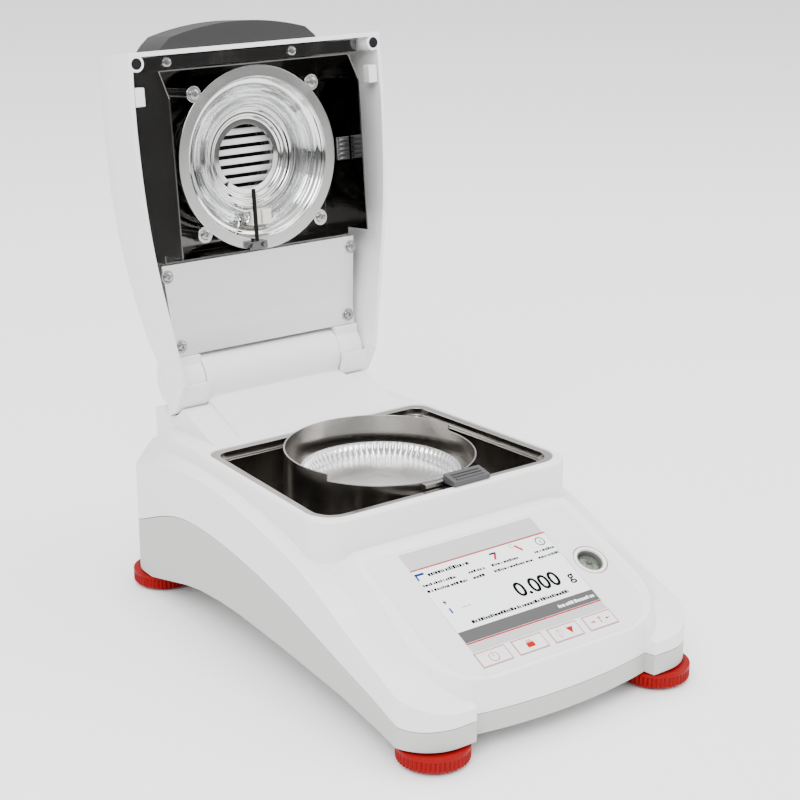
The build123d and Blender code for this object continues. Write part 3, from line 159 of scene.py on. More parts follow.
def turned_grain_group():
    """Scratches that run round an axis, as on spun or polished round sheet."""
    tree, inp, out = new_group("turned_grain", [("Centre", VECTOR, (0, 0, 0)), ("Turn", VECTOR, (0, 0, 0)),
                                                ("Radial Scale", FLOAT, 900.0), ("Round Scale", FLOAT, 2.0)],
                               [("Height", FLOAT), ("Streak", FLOAT), ("Radius", FLOAT)])
    where = object_coords(tree)
    moved = tree.nodes.new("ShaderNodeVectorMath")
    moved.operation = "SUBTRACT"
    tree.links.new(where, moved.inputs[0])
    tree.links.new(inp.outputs["Centre"], moved.inputs[1])
    turned = tree.nodes.new("ShaderNodeVectorRotate")
    turned.rotation_type = "EULER_XYZ"
    tree.links.new(moved.outputs[0], turned.inputs["Vector"])
    tree.links.new(inp.outputs["Turn"], turned.inputs["Rotation"])
    split = tree.nodes.new("ShaderNodeSeparateXYZ")
    tree.links.new(turned.outputs[0], split.inputs[0])
    x, y, z = split.outputs
    radius = math_node(tree, "SQRT", math_node(tree, "ADD", math_node(tree, "MULTIPLY", x, x),
                                               math_node(tree, "MULTIPLY", y, y)))
    safe = math_node(tree, "MAXIMUM", radius, 0.0001)
    place = tree.nodes.new("ShaderNodeCombineXYZ")
    for part, slot in ((x, 0), (y, 1)):
        share = math_node(tree, "DIVIDE", part, safe)
        tree.links.new(math_node(tree, "MULTIPLY", share, inp.outputs["Round Scale"]), place.inputs[slot])
    along = math_node(tree, "ADD", radius, z)
    tree.links.new(math_node(tree, "MULTIPLY", along, inp.outputs["Radial Scale"]), place.inputs[2])
    tree.links.new(noise_node(tree, place.outputs[0], 1.0, 4.0, 0.65), out.inputs["Height"])
    tree.links.new(noise_node(tree, place.outputs[0], 0.18, 2.0), out.inputs["Streak"])
    tree.links.new(radius, out.inputs["Radius"])
    return tree


def handling_marks_group():
    """Faint smudges where hands go, and a little dust that gathers on faces that look up."""
    tree, inp, out = new_group("handling_marks", [("Smudge Scale", FLOAT, 28.0)],
                               [("Smudge", FLOAT), ("Dust", FLOAT)])
    where = object_coords(tree)
    blot = noise_node(tree, where, inp.outputs["Smudge Scale"], 4.0, 0.6, 0.6)
    spread = tree.nodes.new("ShaderNodeMapRange")
    spread.inputs["From Min"].default_value = 0.48
    spread.inputs["From Max"].default_value = 0.72
    tree.links.new(blot, spread.inputs["Value"])
    tree.links.new(spread.outputs["Result"], out.inputs["Smudge"])
    up = tree.nodes.new("ShaderNodeSeparateXYZ")
    tree.links.new(tree.nodes.new("ShaderNodeNewGeometry").outputs["Normal"], up.inputs[0])
    speck = noise_node(tree, where, 420.0, 2.0)
    lying = math_node(tree, "MULTIPLY", math_node(tree, "MAXIMUM", up.outputs[2], 0.0),
                      math_node(tree, "MULTIPLY", speck, blot), True)
    tree.links.new(lying, out.inputs["Dust"])
    return tree


def edge_wear_group():
    """Mask of the rounded edges, from how far the softened normal leaves the face's own."""
    tree, inp, out = new_group("edge_wear", [("Strength", FLOAT, 6.0)], [("Edge", FLOAT)])
    soft = tree.nodes.new("ShaderNodeBevel")
    soft.samples = 4
    soft.inputs["Radius"].default_value = 0.0009
    dot = tree.nodes.new("ShaderNodeVectorMath")
    dot.operation = "DOT_PRODUCT"
    tree.links.new(soft.outputs[0], dot.inputs[0])
    tree.links.new(tree.nodes.new("ShaderNodeNewGeometry").outputs["Normal"], dot.inputs[1])
    away = math_node(tree, "SUBTRACT", 1.0, dot.outputs["Value"])
    tree.links.new(math_node(tree, "MULTIPLY", away, inp.outputs["Strength"], True), out.inputs["Edge"])
    return tree


MOULDED, BRUSHED, TURNED = moulded_grain_group(), brushed_grain_group(), turned_grain_group()
MARKS, EDGES = handling_marks_group(), edge_wear_group()


# Finishes

class Finish:
    """One material: a Principled shader whose colour, roughness and bump are built up step by step."""

    def __init__(self, name, base, rough, metal=0.0, **fixed):
        self.material = bpy.data.materials.new(name)
        self.material.use_nodes = True
        self.tree = self.material.node_tree
        self.shader = self.tree.nodes["Principled BSDF"]
        self.base = base
        self.rough = rough
        self.colour_out = None
        self.rough_out = None
        self.shader.inputs["Base Color"].default_value = (*base, 1.0)
        self.shader.inputs["Roughness"].default_value = rough
        self.shader.inputs["Metallic"].default_value = metal
        for label, value in fixed.items():
            self.shader.inputs[label.replace("_", " ")].default_value = value

    def group(self, tree, **values):
        node = self.tree.nodes.new("ShaderNodeGroup")
        node.node_tree = tree
        for label, value in values.items():
            node.inputs[label.replace("_", " ")].default_value = value
        return node

    def tint(self, mask, colour, amount):
        """Mixes a colour into the base where the mask is high."""
        mix = self.tree.nodes.new("ShaderNodeMix")
        mix.data_type = "RGBA"
        self.tree.links.new(math_node(self.tree, "MULTIPLY", mask, amount, True), mix.inputs["Factor"])
        if self.colour_out is None:
            mix.inputs["A"].default_value = (*self.base, 1.0)
        else:
            self.tree.links.new(self.colour_out, mix.inputs["A"])
        mix.inputs["B"].default_value = (*colour, 1.0)
        self.colour_out = mix.outputs["Result"]
        self.tree.links.new(self.colour_out, self.shader.inputs["Base Color"])

    def roughen(self, mask, amount):
        """Adds amount times the mask, about its middle value, to the roughness."""
        shift = math_node(self.tree, "MULTIPLY", math_node(self.tree, "SUBTRACT", mask, 0.5), amount)
        start = self.rough if self.rough_out is None else self.rough_out
        self.rough_out = math_node(self.tree, "ADD", shift, start, True)
        self.tree.links.new(self.rough_out, self.shader.inputs["Roughness"])

    def bump(self, height, strength, distance):
        node = self.tree.nodes.new("ShaderNodeBump")
        node.inputs["Strength"].default_value = strength
        node.inputs["Distance"].default_value = distance
        self.tree.links.new(height, node.inputs["Height"])
        if self.shader.inputs["Normal"].is_linked:
            self.tree.links.new(self.shader.inputs["Normal"].links[0].from_socket, node.inputs["Normal"])
        self.tree.links.new(node.outputs["Normal"], self.shader.inputs["Normal"])


def plastic(name, base, rough, grain=1500.0, depth=0.00003, wear=0.0, coat=0.0, dust=0.2, sheen=0.5):
    f = Finish(name, base, rough, Coat_Weight=coat, Coat_Roughness=0.12, Specular_IOR_Level=sheen)
    g = f.group(MOULDED, Grain_Scale=grain)
    m = f.group(MARKS)
    f.tint(g.outputs["Drift"], [c * 0.90 for c in base], 0.36)
    f.tint(m.outputs["Dust"], [0.55 + 0.4 * c for c in base], dust)
    if wear:
        e = f.group(EDGES)
        f.tint(e.outputs["Edge"], [min(1.0, c * 1.35 + 0.01) for c in base], wear)
    f.roughen(g.outputs["Height"], 0.16)
    f.roughen(m.outputs["Smudge"], -0.08)
    f.bump(g.outputs["Height"], 0.22, depth)
    return f.material


def brushed_metal(name, base, rough, stretch, turn=(0.0, 0.0, 0.0), streak=0.35):
    f = Finish(name, base, rough, metal=1.0)
    g = f.group(BRUSHED, Stretch=stretch, Turn=turn)
    m = f.group(MARKS, Smudge_Scale=22.0)
    f.tint(g.outputs["Streak"], [c * 0.72 for c in base], streak)
    e = f.group(EDGES)
    f.tint(e.outputs["Edge"], [min(1.0, c * 1.35) for c in base], 0.3)
    f.roughen(g.outputs["Streak"], 0.16)
    f.roughen(m.outputs["Smudge"], 0.07)
    f.bump(g.outputs["Height"], 0.3, 0.00002)
    return f.material


def spun_metal(name, base, rough, centre, turn=(0.0, 0.0, 0.0), streak=0.3):
    f = Finish(name, base, rough, metal=1.0)
    g = f.group(TURNED, Centre=centre, Turn=turn)
    m = f.group(MARKS, Smudge_Scale=24.0)
    f.tint(g.outputs["Streak"], [c * 0.75 for c in base], streak)
    f.roughen(g.outputs["Streak"], 0.12)
    f.roughen(m.outputs["Smudge"], 0.06)
    f.bump(g.outputs["Height"], 0.25, 0.00002)
    return f.material


def clear(name, base, rough, ior):
    f = Finish(name, base, rough, Transmission_Weight=1.0, IOR=ior)
    m = f.group(MARKS, Smudge_Scale=60.0)
    f.roughen(m.outputs["Smudge"], 0.05)
    g = f.group(MOULDED, Grain_Scale=240.0)
    f.tint(g.outputs["Drift"], [c * 0.94 for c in base], 0.4)
    return f.material


def lit_screen(name, base):
    """Lit display: an even glow with a slow drift in tone, under a slightly marked front."""
    f = Finish(name, base, 0.22, Coat_Weight=0.4, Coat_Roughness=0.06, Emission_Strength=0.28)
    g = f.group(MOULDED, Grain_Scale=3000.0, Drift_Scale=16.0)
    m = f.group(MARKS, Smudge_Scale=40.0)
    f.tint(g.outputs["Drift"], [c * 0.95 for c in base], 0.5)
    f.roughen(m.outputs["Smudge"], 0.10)
    f.tree.links.new(f.colour_out, f.shader.inputs["Emission Color"])
    return f.material


LID_TURN = (math.pi / 2 - LEAN, 0.0, 0.0)
RING_CENTRE = LID @ Vector((0, RING_V, 0)) * MM
PAN_CENTRE = Vector((0, PAN_Y, 0)) * MM

WHITE = (0.86, 0.86, 0.855)
GREY = (0.47, 0.47, 0.46)

finishes = {
    "white_housing": plastic("white_housing", WHITE, 0.42, wear=0.25),
    "white_hinge": plastic("white_hinge", WHITE, 0.42, wear=0.25),
    "grey_housing": plastic("grey_housing", GREY, 0.46, wear=0.2),
    "stainless_liner": brushed_metal("stainless_liner", (0.38, 0.365, 0.345), 0.20, (9.0, 700.0, 700.0),
                                     streak=0.5),
    "stainless_handler": spun_metal("stainless_handler", (0.36, 0.345, 0.325), 0.22, PAN_CENTRE, streak=0.45),
    "grip_plastic": plastic("grip_plastic", (0.060, 0.060, 0.062), 0.42, grain=1100.0, wear=0.35, dust=0.03,
                            sheen=0.3),
    "pan_aluminium": spun_metal("pan_aluminium", (0.80, 0.80, 0.80), 0.24, PAN_CENTRE, streak=0.25),
    "cell_aluminium": brushed_metal("cell_aluminium", (0.70, 0.70, 0.71), 0.30, (700.0, 12.0, 700.0)),
    "cast_bracket": plastic("cast_bracket", (0.42, 0.42, 0.43), 0.55, grain=700.0, depth=0.0001),
    "circuit_board": plastic("circuit_board", (0.02, 0.13, 0.06), 0.35, coat=0.4),
    "overlay_film": plastic("overlay_film", (0.80, 0.80, 0.80), 0.30, grain=2600.0, depth=0.00001, coat=0.25),
    "screen_glass": lit_screen("screen_glass", (0.86, 0.87, 0.88)),
    "dark_plastic": plastic("dark_plastic", (0.006, 0.006, 0.006), 0.6, dust=0.0, sheen=0.1),
    "vial_glass": clear("vial_glass", (0.86, 0.93, 0.84), 0.03, 1.47),
    "level_ring_plastic": plastic("level_ring_plastic", (0.84, 0.84, 0.835), 0.34, wear=0.2),
    "connector_black": plastic("connector_black", (0.008, 0.008, 0.008), 0.45, dust=0.01, sheen=0.25),
    "zinc_steel": brushed_metal("zinc_steel", (0.34, 0.34, 0.34), 0.22, (600.0, 600.0, 600.0), streak=0.2),
    "handle_plastic": plastic("handle_plastic", (0.032, 0.032, 0.033), 0.46, grain=1200.0, wear=0.25, dust=0.02,
                              sheen=0.25),
    # The tub's base colour is darkened well below that of stainless steel: painted shade for the dark gap it
    # sits in.
    "tub_stainless": brushed_metal("tub_stainless", (0.15, 0.145, 0.14), 0.12, (500.0, 500.0, 9.0),
                                   streak=0.55),
    "reflector_mirror": spun_metal("reflector_mirror", (0.72, 0.72, 0.71), 0.08, RING_CENTRE, LID_TURN,
                                   streak=0.2),
    "ring_steel": spun_metal("ring_steel", (0.62, 0.62, 0.61), 0.22, RING_CENTRE, LID_TURN, streak=0.3),
    "lamp_glass": clear("lamp_glass", (0.96, 0.97, 0.98), 0.02, 1.46),
    "ceramic": plastic("ceramic", (0.72, 0.69, 0.62), 0.7, grain=900.0, depth=0.00006),
    "grille_white": plastic("grille_white", (0.80, 0.80, 0.79), 0.4),
    "sensor_black": plastic("sensor_black", (0.003, 0.003, 0.003), 0.4, dust=0.0, sheen=0.15),
    "bracket_steel": brushed_metal("bracket_steel", (0.16, 0.16, 0.16), 0.28, (600.0, 20.0, 600.0)),
    "clip_steel": brushed_metal("clip_steel", (0.22, 0.22, 0.23), 0.30, (20.0, 600.0, 600.0)),
    "brushed_plate": brushed_metal("brushed_plate", (0.80, 0.80, 0.80), 0.34, (7.0, 1100.0, 1100.0),
                                   streak=0.28),
    "bumper_rubber": plastic("bumper_rubber", (0.006, 0.0065, 0.010), 0.5, grain=900.0, dust=0.0, sheen=0.15),
    "pad_plastic": plastic("pad_plastic", (0.80, 0.80, 0.80), 0.35),
    "key_film": plastic("key_film", (0.80, 0.80, 0.80), 0.30, grain=2600.0, depth=0.00001, coat=0.25),
    "pad_rubber": plastic("pad_rubber", (0.012, 0.012, 0.012), 0.7, grain=900.0, depth=0.00006, dust=0.02,
                          sheen=0.2),
    "foot_red": plastic("foot_red", (0.23, 0.0004, 0.0012), 0.42, wear=0.1, dust=0.0, sheen=0.12),
}
print_red = plastic("print_red", (0.42, 0.002, 0.001), 0.5, dust=0.0, sheen=0.05)
print_pink = plastic("print_pink", (0.50, 0.030, 0.040), 0.5, dust=0.0, sheen=0.05)
print_black = plastic("print_black", (0.0015, 0.0015, 0.0016), 0.6, dust=0.0, sheen=0.03)
print_grey = plastic("print_grey", (0.085, 0.085, 0.087), 0.5, dust=0.0, sheen=0.1)
print_pale = plastic("print_pale", (0.50, 0.50, 0.50), 0.45, dust=0.0, sheen=0.2)
print_blue = plastic("print_blue", (0.004, 0.022, 0.17), 0.5, dust=0.0, sheen=0.05)
print_white = plastic("print_white", (0.88, 0.88, 0.88), 0.45, dust=0.02)
fluid = clear("fluid", (0.55, 0.60, 0.52), 0.02, 1.33)
vial_dark = plastic("vial_dark", (0.16, 0.16, 0.15), 0.30, dust=0.0)
tungsten = brushed_metal("tungsten", (0.34, 0.32, 0.30), 0.4, (900.0, 900.0, 900.0))

for name, obj in nodes.items():
    obj.data.materials.clear()
    obj.data.materials.append(finishes[slot_of[name]])


# Pieces

def stands_for(piece, *names):
    """The piece takes the place and body of these nodes."""
    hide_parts(*names)
    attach(piece, body_of[names[0]])
    return piece


def goes_with(piece, name):
    """The piece is an addition that rides with this node."""
    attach(piece, body_of[name])
    return piece


def link(name, mesh, material=None):
    obj = bpy.data.objects.new(name, mesh)
    bpy.context.scene.collection.objects.link(obj)
    if material is not None:
        mesh.materials.clear()
        mesh.materials.append(material)
    return obj


def shade(mesh, smooth_deg, outward=False):
    """Smooth faces with the sharp edges kept."""
    bm = bmesh.new()
    bm.from_mesh(mesh)
    if outward:
        bmesh.ops.recalc_face_normals(bm, faces=bm.faces)
    for face in bm.faces:
        face.smooth = True
    for edge in bm.edges:
        edge.smooth = len(edge.link_faces) == 2 and edge.calc_face_angle(0.0) < math.radians(smooth_deg)
    bm.to_mesh(mesh)
    bm.free()


def rounded_copy(node, width, smooth_deg=32.0, segments=2):
    """A CAD node's shape with its corners merged, its edges rounded and its curved faces shaded smooth."""
    mesh = nodes[node].data.copy()
    mesh.name = node + "_skin"
    if "custom_normal" in mesh.attributes:
        mesh.attributes.remove(mesh.attributes["custom_normal"])
    bm = bmesh.new()
    bm.from_mesh(mesh)
    bmesh.ops.remove_doubles(bm, verts=bm.verts, dist=2e-6)
    bmesh.ops.dissolve_limit(bm, angle_limit=math.radians(0.6), verts=bm.verts, edges=bm.edges)
    bm.to_mesh(mesh)
    bm.free()
    shade(mesh, smooth_deg)
    piece = link(node + "_skin", mesh, finishes[slot_of[node]])
    if width:
        bevel = piece.modifiers.new("rounded", "BEVEL")
        bevel.width = width * MM
        bevel.segments = segments
        bevel.limit_method = "ANGLE"
        bevel.angle_limit = math.radians(smooth_deg)
        bevel.harden_normals = True
        bevel.miter_outer = "MITER_ARC"
    return stands_for(piece, node)


# Node trees that grow the pieces whose shape follows a rule

INT, OBJECT = "NodeSocketInt", "NodeSocketObject"
MATERIAL, GEOMETRY = "NodeSocketMaterial", "NodeSocketGeometry"


class Grower:
    """A geometry tree with named inputs, which ends in real geometry with its material set."""

    def __init__(self, name, inputs):
        self.tree = bpy.data.node_groups.new(name, "GeometryNodeTree")
        face = self.tree.interface
        face.new_socket(name="Geometry", in_out="OUTPUT", socket_type=GEOMETRY)
        face.new_socket(name="Geometry", in_out="INPUT", socket_type=GEOMETRY)
        for label, kind, value in inputs:
            socket = face.new_socket(name=label, in_out="INPUT", socket_type=kind)
            if value is not None:
                socket.default_value = value
        face.new_socket(name="Material", in_out="INPUT", socket_type=MATERIAL)
        self.given = self.tree.nodes.new("NodeGroupInput").outputs
        self.out = self.tree.nodes.new("NodeGroupOutput")

    def node(self, kind, settings=None, **inputs):
        node = self.tree.nodes.new(kind)
        for label, value in (settings or {}).items():
            setattr(node, label, value)
        for label, value in inputs.items():
            self.put(node.inputs[label.replace("_", " ")], value)
        return node

    def put(self, socket, value):
        if isinstance(value, bpy.types.NodeSocket):
            self.tree.links.new(value, socket)
        else:
            socket.default_value = value

    def math(self, operation, a, b=None, clamp=False):
        return math_node(self.tree, operation, a, b, clamp)

    def end(self, geometry):
        real = self.node("GeometryNodeRealizeInstances", Geometry=geometry)
        dressed = self.node("GeometryNodeSetMaterial", Geometry=real.outputs[0],
                            Material=self.given["Material"])
        self.tree.links.new(dressed.outputs[0], self.out.inputs["Geometry"])
        return self.tree


def grow(name, tree, seed, material, **values):
    """The mesh that a tree grows on a starting mesh."""
    obj = bpy.data.objects.new(name + "_seed", seed)
    bpy.context.scene.collection.objects.link(obj)
    modifier = obj.modifiers.new("grow", "NODES")
    modifier.node_group = tree
    sockets = {s.name: s.identifier for s in tree.interface.items_tree
               if s.item_type == "SOCKET" and s.in_out == "INPUT"}
    for label, value in values.items():
        modifier[sockets[label.replace("_", " ")]] = value
    modifier[sockets["Material"]] = material
    graph = bpy.context.evaluated_depsgraph_get()
    mesh = bpy.data.meshes.new_from_object(obj.evaluated_get(graph), depsgraph=graph)
    mesh.name = name
    bpy.data.objects.remove(obj)
    return mesh


def fluted_turning_tree():
    """Turns a profile, given as a chain of points in the XZ plane, and pleats the part between two radii."""
    g = Grower("fluted_turning", [("Around", INT, 96), ("Flutes", FLOAT, 0.0), ("Depth", FLOAT, 0.0),
                                  ("From", FLOAT, 0.0), ("To", FLOAT, 1.0), ("Ribs Below", FLOAT, 1000.0)])
    rows = g.node("GeometryNodeAttributeDomainSize", {"component": "MESH"}, Geometry=g.given["Geometry"])
    count = rows.outputs["Point Count"]
    grid = g.node("GeometryNodeMeshGrid", Size_X=1.0, Size_Y=1.0,
                  Vertices_X=g.math("ADD", g.given["Around"], 1), Vertices_Y=count)
    where = g.node("GeometryNodeInputPosition").outputs[0]
    split = g.node("ShaderNodeSeparateXYZ", Vector=where)
    up_grid = g.math("ADD", split.outputs[1], 0.5)
    row = g.math("ROUND", g.math("MULTIPLY", up_grid, g.math("SUBTRACT", count, 1)))
    sample = g.node("GeometryNodeSampleIndex", {"data_type": "FLOAT_VECTOR", "domain": "POINT"},
                    Geometry=g.given["Geometry"], Value=where, Index=row)
    point = g.node("ShaderNodeSeparateXYZ", Vector=sample.outputs[0])
    angle = g.math("MULTIPLY", g.math("ADD", split.outputs[0], 0.5), 2 * math.pi)
    pleat = g.math("COSINE", g.math("MULTIPLY", angle, g.given["Flutes"]))
    wave = g.math("SUBTRACT", 0.5, g.math("MULTIPLY", pleat, 0.5))
    reach = g.math("DIVIDE", g.math("SUBTRACT", point.outputs[0], g.given["From"]),
                   g.math("SUBTRACT", g.given["To"], g.given["From"]), True)
    low = g.math("LESS_THAN", point.outputs[2], g.given["Ribs Below"])
    cut = g.math("MULTIPLY", g.math("MULTIPLY", g.math("MULTIPLY", wave, g.given["Depth"]), reach), low)
    radius = g.math("SUBTRACT", point.outputs[0], cut)
    place = g.node("ShaderNodeCombineXYZ", X=g.math("MULTIPLY", radius, g.math("COSINE", angle)),
                   Y=g.math("MULTIPLY", radius, g.math("SINE", angle)), Z=point.outputs[2])
    bent = g.node("GeometryNodeSetPosition", Geometry=grid.outputs["Mesh"], Position=place.outputs[0])
    closed = g.node("GeometryNodeMergeByDistance", Geometry=bent.outputs[0], Distance=0.000004)
    return g.end(closed.outputs[0])


def row_tree():
    """Repeats the starting mesh along a line."""
    g = Grower("row", [("Count", INT, 5), ("Step", VECTOR, (0.0, 0.0, 0.0))])
    line = g.node("GeometryNodeMeshLine", {"mode": "OFFSET"}, Count=g.given["Count"], Offset=g.given["Step"])
    copies = g.node("GeometryNodeInstanceOnPoints", Points=line.outputs[0], Instance=g.given["Geometry"])
    return g.end(copies.outputs[0])


def scatter_tree():
    """Puts one item on every point of the starting mesh, each turned by its own share of the spread."""
    g = Grower("item_on_points", [("Item", OBJECT, None), ("Spread", FLOAT, 0.0), ("Seed", INT, 4)])
    item = g.node("GeometryNodeObjectInfo", Object=g.given["Item"])
    turn = g.node("FunctionNodeRandomValue", {"data_type": "FLOAT"}, Seed=g.given["Seed"])
    angle = g.math("MULTIPLY", turn.outputs[1], g.given["Spread"])
    rotation = g.node("ShaderNodeCombineXYZ", Z=angle)
    copies = g.node("GeometryNodeInstanceOnPoints", Points=g.given["Geometry"],
                    Instance=item.outputs["Geometry"], Rotation=rotation.outputs[0])
    return g.end(copies.outputs[0])


def coil_tree():
    """A wire wound in a helix round an open ring, or a plain bent rod when the winding radius is nothing."""
    g = Grower("wound_ring", [("Steps", INT, 900), ("Ring Radius", FLOAT, 0.03), ("Winding Radius", FLOAT, 0.0),
                              ("Turns", FLOAT, 100.0), ("Start", FLOAT, 0.0), ("Sweep", FLOAT, 6.0),
                              ("Wire Radius", FLOAT, 0.0002), ("Wire Sides", INT, 5)])
    line = g.node("GeometryNodeMeshLine", {"mode": "OFFSET"}, Count=g.given["Steps"])
    index = g.node("GeometryNodeInputIndex").outputs[0]
    share = g.math("DIVIDE", index, g.math("SUBTRACT", g.given["Steps"], 1))
    angle = g.math("ADD", g.given["Start"], g.math("MULTIPLY", share, g.given["Sweep"]))
    wind = g.math("MULTIPLY", g.math("MULTIPLY", share, g.given["Turns"]), 2 * math.pi)
    swing = g.math("MULTIPLY", g.math("COSINE", wind), g.given["Winding Radius"])
    radius = g.math("ADD", g.given["Ring Radius"], swing)
    place = g.node("ShaderNodeCombineXYZ", X=g.math("MULTIPLY", radius, g.math("COSINE", angle)),
                   Y=g.math("MULTIPLY", radius, g.math("SINE", angle)),
                   Z=g.math("MULTIPLY", g.math("SINE", wind), g.given["Winding Radius"]))
    wire = g.node("GeometryNodeSetPosition", Geometry=line.outputs[0], Position=place.outputs[0])
    curve = g.node("GeometryNodeMeshToCurve", Mesh=wire.outputs[0])
    ring = g.node("GeometryNodeCurvePrimitiveCircle", {"mode": "RADIUS"}, Resolution=g.given["Wire Sides"],
                  Radius=g.given["Wire Radius"])
    solid = g.node("GeometryNodeCurveToMesh", Curve=curve.outputs[0], Profile_Curve=ring.outputs[0],
                   Fill_Caps=True)
    return g.end(solid.outputs[0])


TURNING, ROW, SCATTER, COIL = fluted_turning_tree(), row_tree(), scatter_tree(), coil_tree()


def soften(points, radius, steps=4):
    """Rounds the inner corners of a chain of points."""
    out = [points[0]]
    for before, at, after in zip(points, points[1:], points[2:]):
        a, b, c = Vector(before), Vector(at), Vector(after)
        r = min(radius, (a - b).length * 0.45, (c - b).length * 0.45)
        p, q = b + (a - b).normalized() * r, b + (c - b).normalized() * r
        for i in range(steps + 1):
            t = i / steps
            out.append(tuple(p * (1 - t) ** 2 + b * (2 * t * (1 - t)) + q * t ** 2))
    out.append(points[-1])
    return out


def chain(points):
    """Starting mesh for a turning: (radius, height) in millimetres."""
    mesh = bpy.data.meshes.new("chain")
    edges = [(i, i + 1) for i in range(len(points) - 1)]
    mesh.from_pydata([(r * MM, 0, z * MM) for r, z in points], edges, [])
    return mesh


def turned(name, points, place, material, smooth_deg=40.0, **values):
    """Turned piece. Place is its axis in the frame, in millimetres."""
    mesh = grow(name, TURNING, chain(points), material, **values)
    shade(mesh, smooth_deg, outward=True)
    return link(name, placed(mesh, place))


def block_mesh(sizes, bevel, at=(0, 0, 0), segments=2):
    """Box in millimetres with rounded edges."""
    bm = bmesh.new()
    bmesh.ops.create_cube(bm, size=1.0)
    bmesh.ops.scale(bm, vec=Vector(sizes) * MM, verts=bm.verts)
    bmesh.ops.bevel(bm, geom=bm.edges[:], offset=bevel * MM, segments=segments, profile=0.5, affect="EDGES")
    bmesh.ops.translate(bm, vec=Vector(at) * MM, verts=bm.verts)
    mesh = bpy.data.meshes.new("block")
    bm.to_mesh(mesh)
    bm.free()
    return mesh


def placed(mesh, place):
    """Moves a mesh made about the origin to a place given in millimetres."""
    mesh.transform(Matrix.Translation(place.translation * MM) @ place.to_3x3().to_4x4())
    return mesh


def screw_item(head_r, head_h, socket_r, washer_r=0.0, washer_t=0.0):
    """Pan-head screw with a star socket, on a washer where it has one; its seat is at z = 0."""
    sides, star_points, star_depth = 48, 6, 0.13
    z0 = washer_t
    top = z0 + head_h * 1.06
    profile = []
    if washer_r:
        profile += [(washer_r - 0.15, 0.0), (washer_r, 0.12), (washer_r, washer_t - 0.12),
                    (washer_r - 0.15, washer_t)]
    profile += [(head_r, z0), (head_r, z0 + head_h * 0.45), (head_r * 0.93, z0 + head_h * 0.8),
                (head_r * 0.75, z0 + head_h), (socket_r * 1.22, top)]
    levels = [(r, z, 0.0) for r, z in profile]
    levels += [(socket_r, top, star_depth), (socket_r * 0.96, z0 + head_h * 0.25, star_depth)]
    bm = bmesh.new()
    rings = []
    for r, z, depth in levels:
        ring = []
        for i in range(sides):
            a = 2 * math.pi * i / sides
            reach = r * (1.0 - depth * (0.5 - 0.5 * math.cos(star_points * a))) * MM
            ring.append(bm.verts.new((reach * math.cos(a), reach * math.sin(a), z * MM)))
        rings.append(ring)
    for low, high in zip(rings, rings[1:]):
        for i in range(sides):
            j = (i + 1) % sides
            bm.faces.new((low[i], low[j], high[j], high[i]))
    bm.faces.new(rings[-1])
    bm.faces.new(list(reversed(rings[0])))
    mesh = bpy.data.meshes.new("screw_item")
    bm.to_mesh(mesh)
    bm.free()
    shade(mesh, 35.0)
    return mesh


def screws(name, item, places, node, material):
    """One screw on each place; places are in the lid's axes, millimetres."""
    helper = link(name + "_item", item)
    points = bpy.data.meshes.new("points")
    points.from_pydata([Vector(p) * MM for p in places], [], [])
    mesh = grow(name, SCATTER, points, material, Item=helper, Spread=6.0)
    bpy.data.objects.remove(helper)
    return stands_for(link(name, placed(mesh, LID)), node)


def block_row(name, sizes, bevel, count, step, place, node, segments=2):
    """Equal blocks in a row, which ride with a node and share its finish."""
    row = grow(name, ROW, block_mesh(sizes, bevel, segments=segments), finishes[slot_of[node]],
               Count=count, Step=tuple(c * MM for c in step))
    shade(row, 40.0)
    return goes_with(link(name, placed(row, place)), node)


# Printed marks on the sloping panel

def prints(name, height, material, shapes, node):
    """Thin flat marks; each shape is a chain of (across, up the slope) corners in millimetres."""
    verts, faces = [], []
    for shape in shapes:
        faces.append(tuple(range(len(verts), len(verts) + len(shape))))
        verts += [PANEL @ Vector((x, s, height)) * MM for x, s in shape]
    mesh = bpy.data.meshes.new(name)
    mesh.from_pydata(verts, [], faces)
    return goes_with(link(name, mesh, material), node)


def box2(x0, x1, s0, s1):
    return [(x0, s0), (x1, s0), (x1, s1), (x0, s1)]


def arc2(x, s, r, wide, a0, a1, n=28):
    """Strips that make a ring or a part of one."""
    out = []
    for i in range(n):
        t0, t1 = (math.radians(a0 + (a1 - a0) * k / n) for k in (i, i + 1))
        out.append([(x + q * math.cos(t), s + q * math.sin(t)) for q, t in
                    ((r, t0), (r + wide, t0), (r + wide, t1), (r, t1))])
    return out


def frame2(x0, x1, s0, s1, wide):
    return [box2(x0, x1, s0, s0 + wide), box2(x0, x1, s1 - wide, s1),
            box2(x0, x0 + wide, s0 + wide, s1 - wide), box2(x1 - wide, x1, s0 + wide, s1 - wide)]


def figures(text, x, s, size):
    """Plain figures as flat shapes."""
    data = bpy.data.curves.new("figures", "FONT")
    data.body = text
    data.size = size * MM
    data.offset = size * 0.018 * MM
    obj = bpy.data.objects.new("figures", data)
    bpy.context.scene.collection.objects.link(obj)
    graph = bpy.context.evaluated_depsgraph_get()
    mesh = bpy.data.meshes.new_from_object(obj.evaluated_get(graph), depsgraph=graph)
    bpy.data.objects.remove(obj)
    return [[(x + mesh.vertices[i].co.x / MM, s + mesh.vertices[i].co.y / MM) for i in face.vertices]
            for face in mesh.polygons]


def word_bars(x0, x1, s, tall, seed):
    """A line of print too small to read, as short strokes of uneven length."""
    out, x, k = [], x0, seed
    while x < x1:
        k = (k * 73 + 41) % 97
        wide = min(0.7 + k / 97.0 * 1.3, x1 - x)
        lift = 0.25 * tall if k % 3 == 0 else 0.0
        out.append(box2(x, x + wide, s - tall / 2, s + tall / 2 - 0.3 + lift))
        x += wide + (0.9 if k % 5 == 0 else 0.32)
    return out


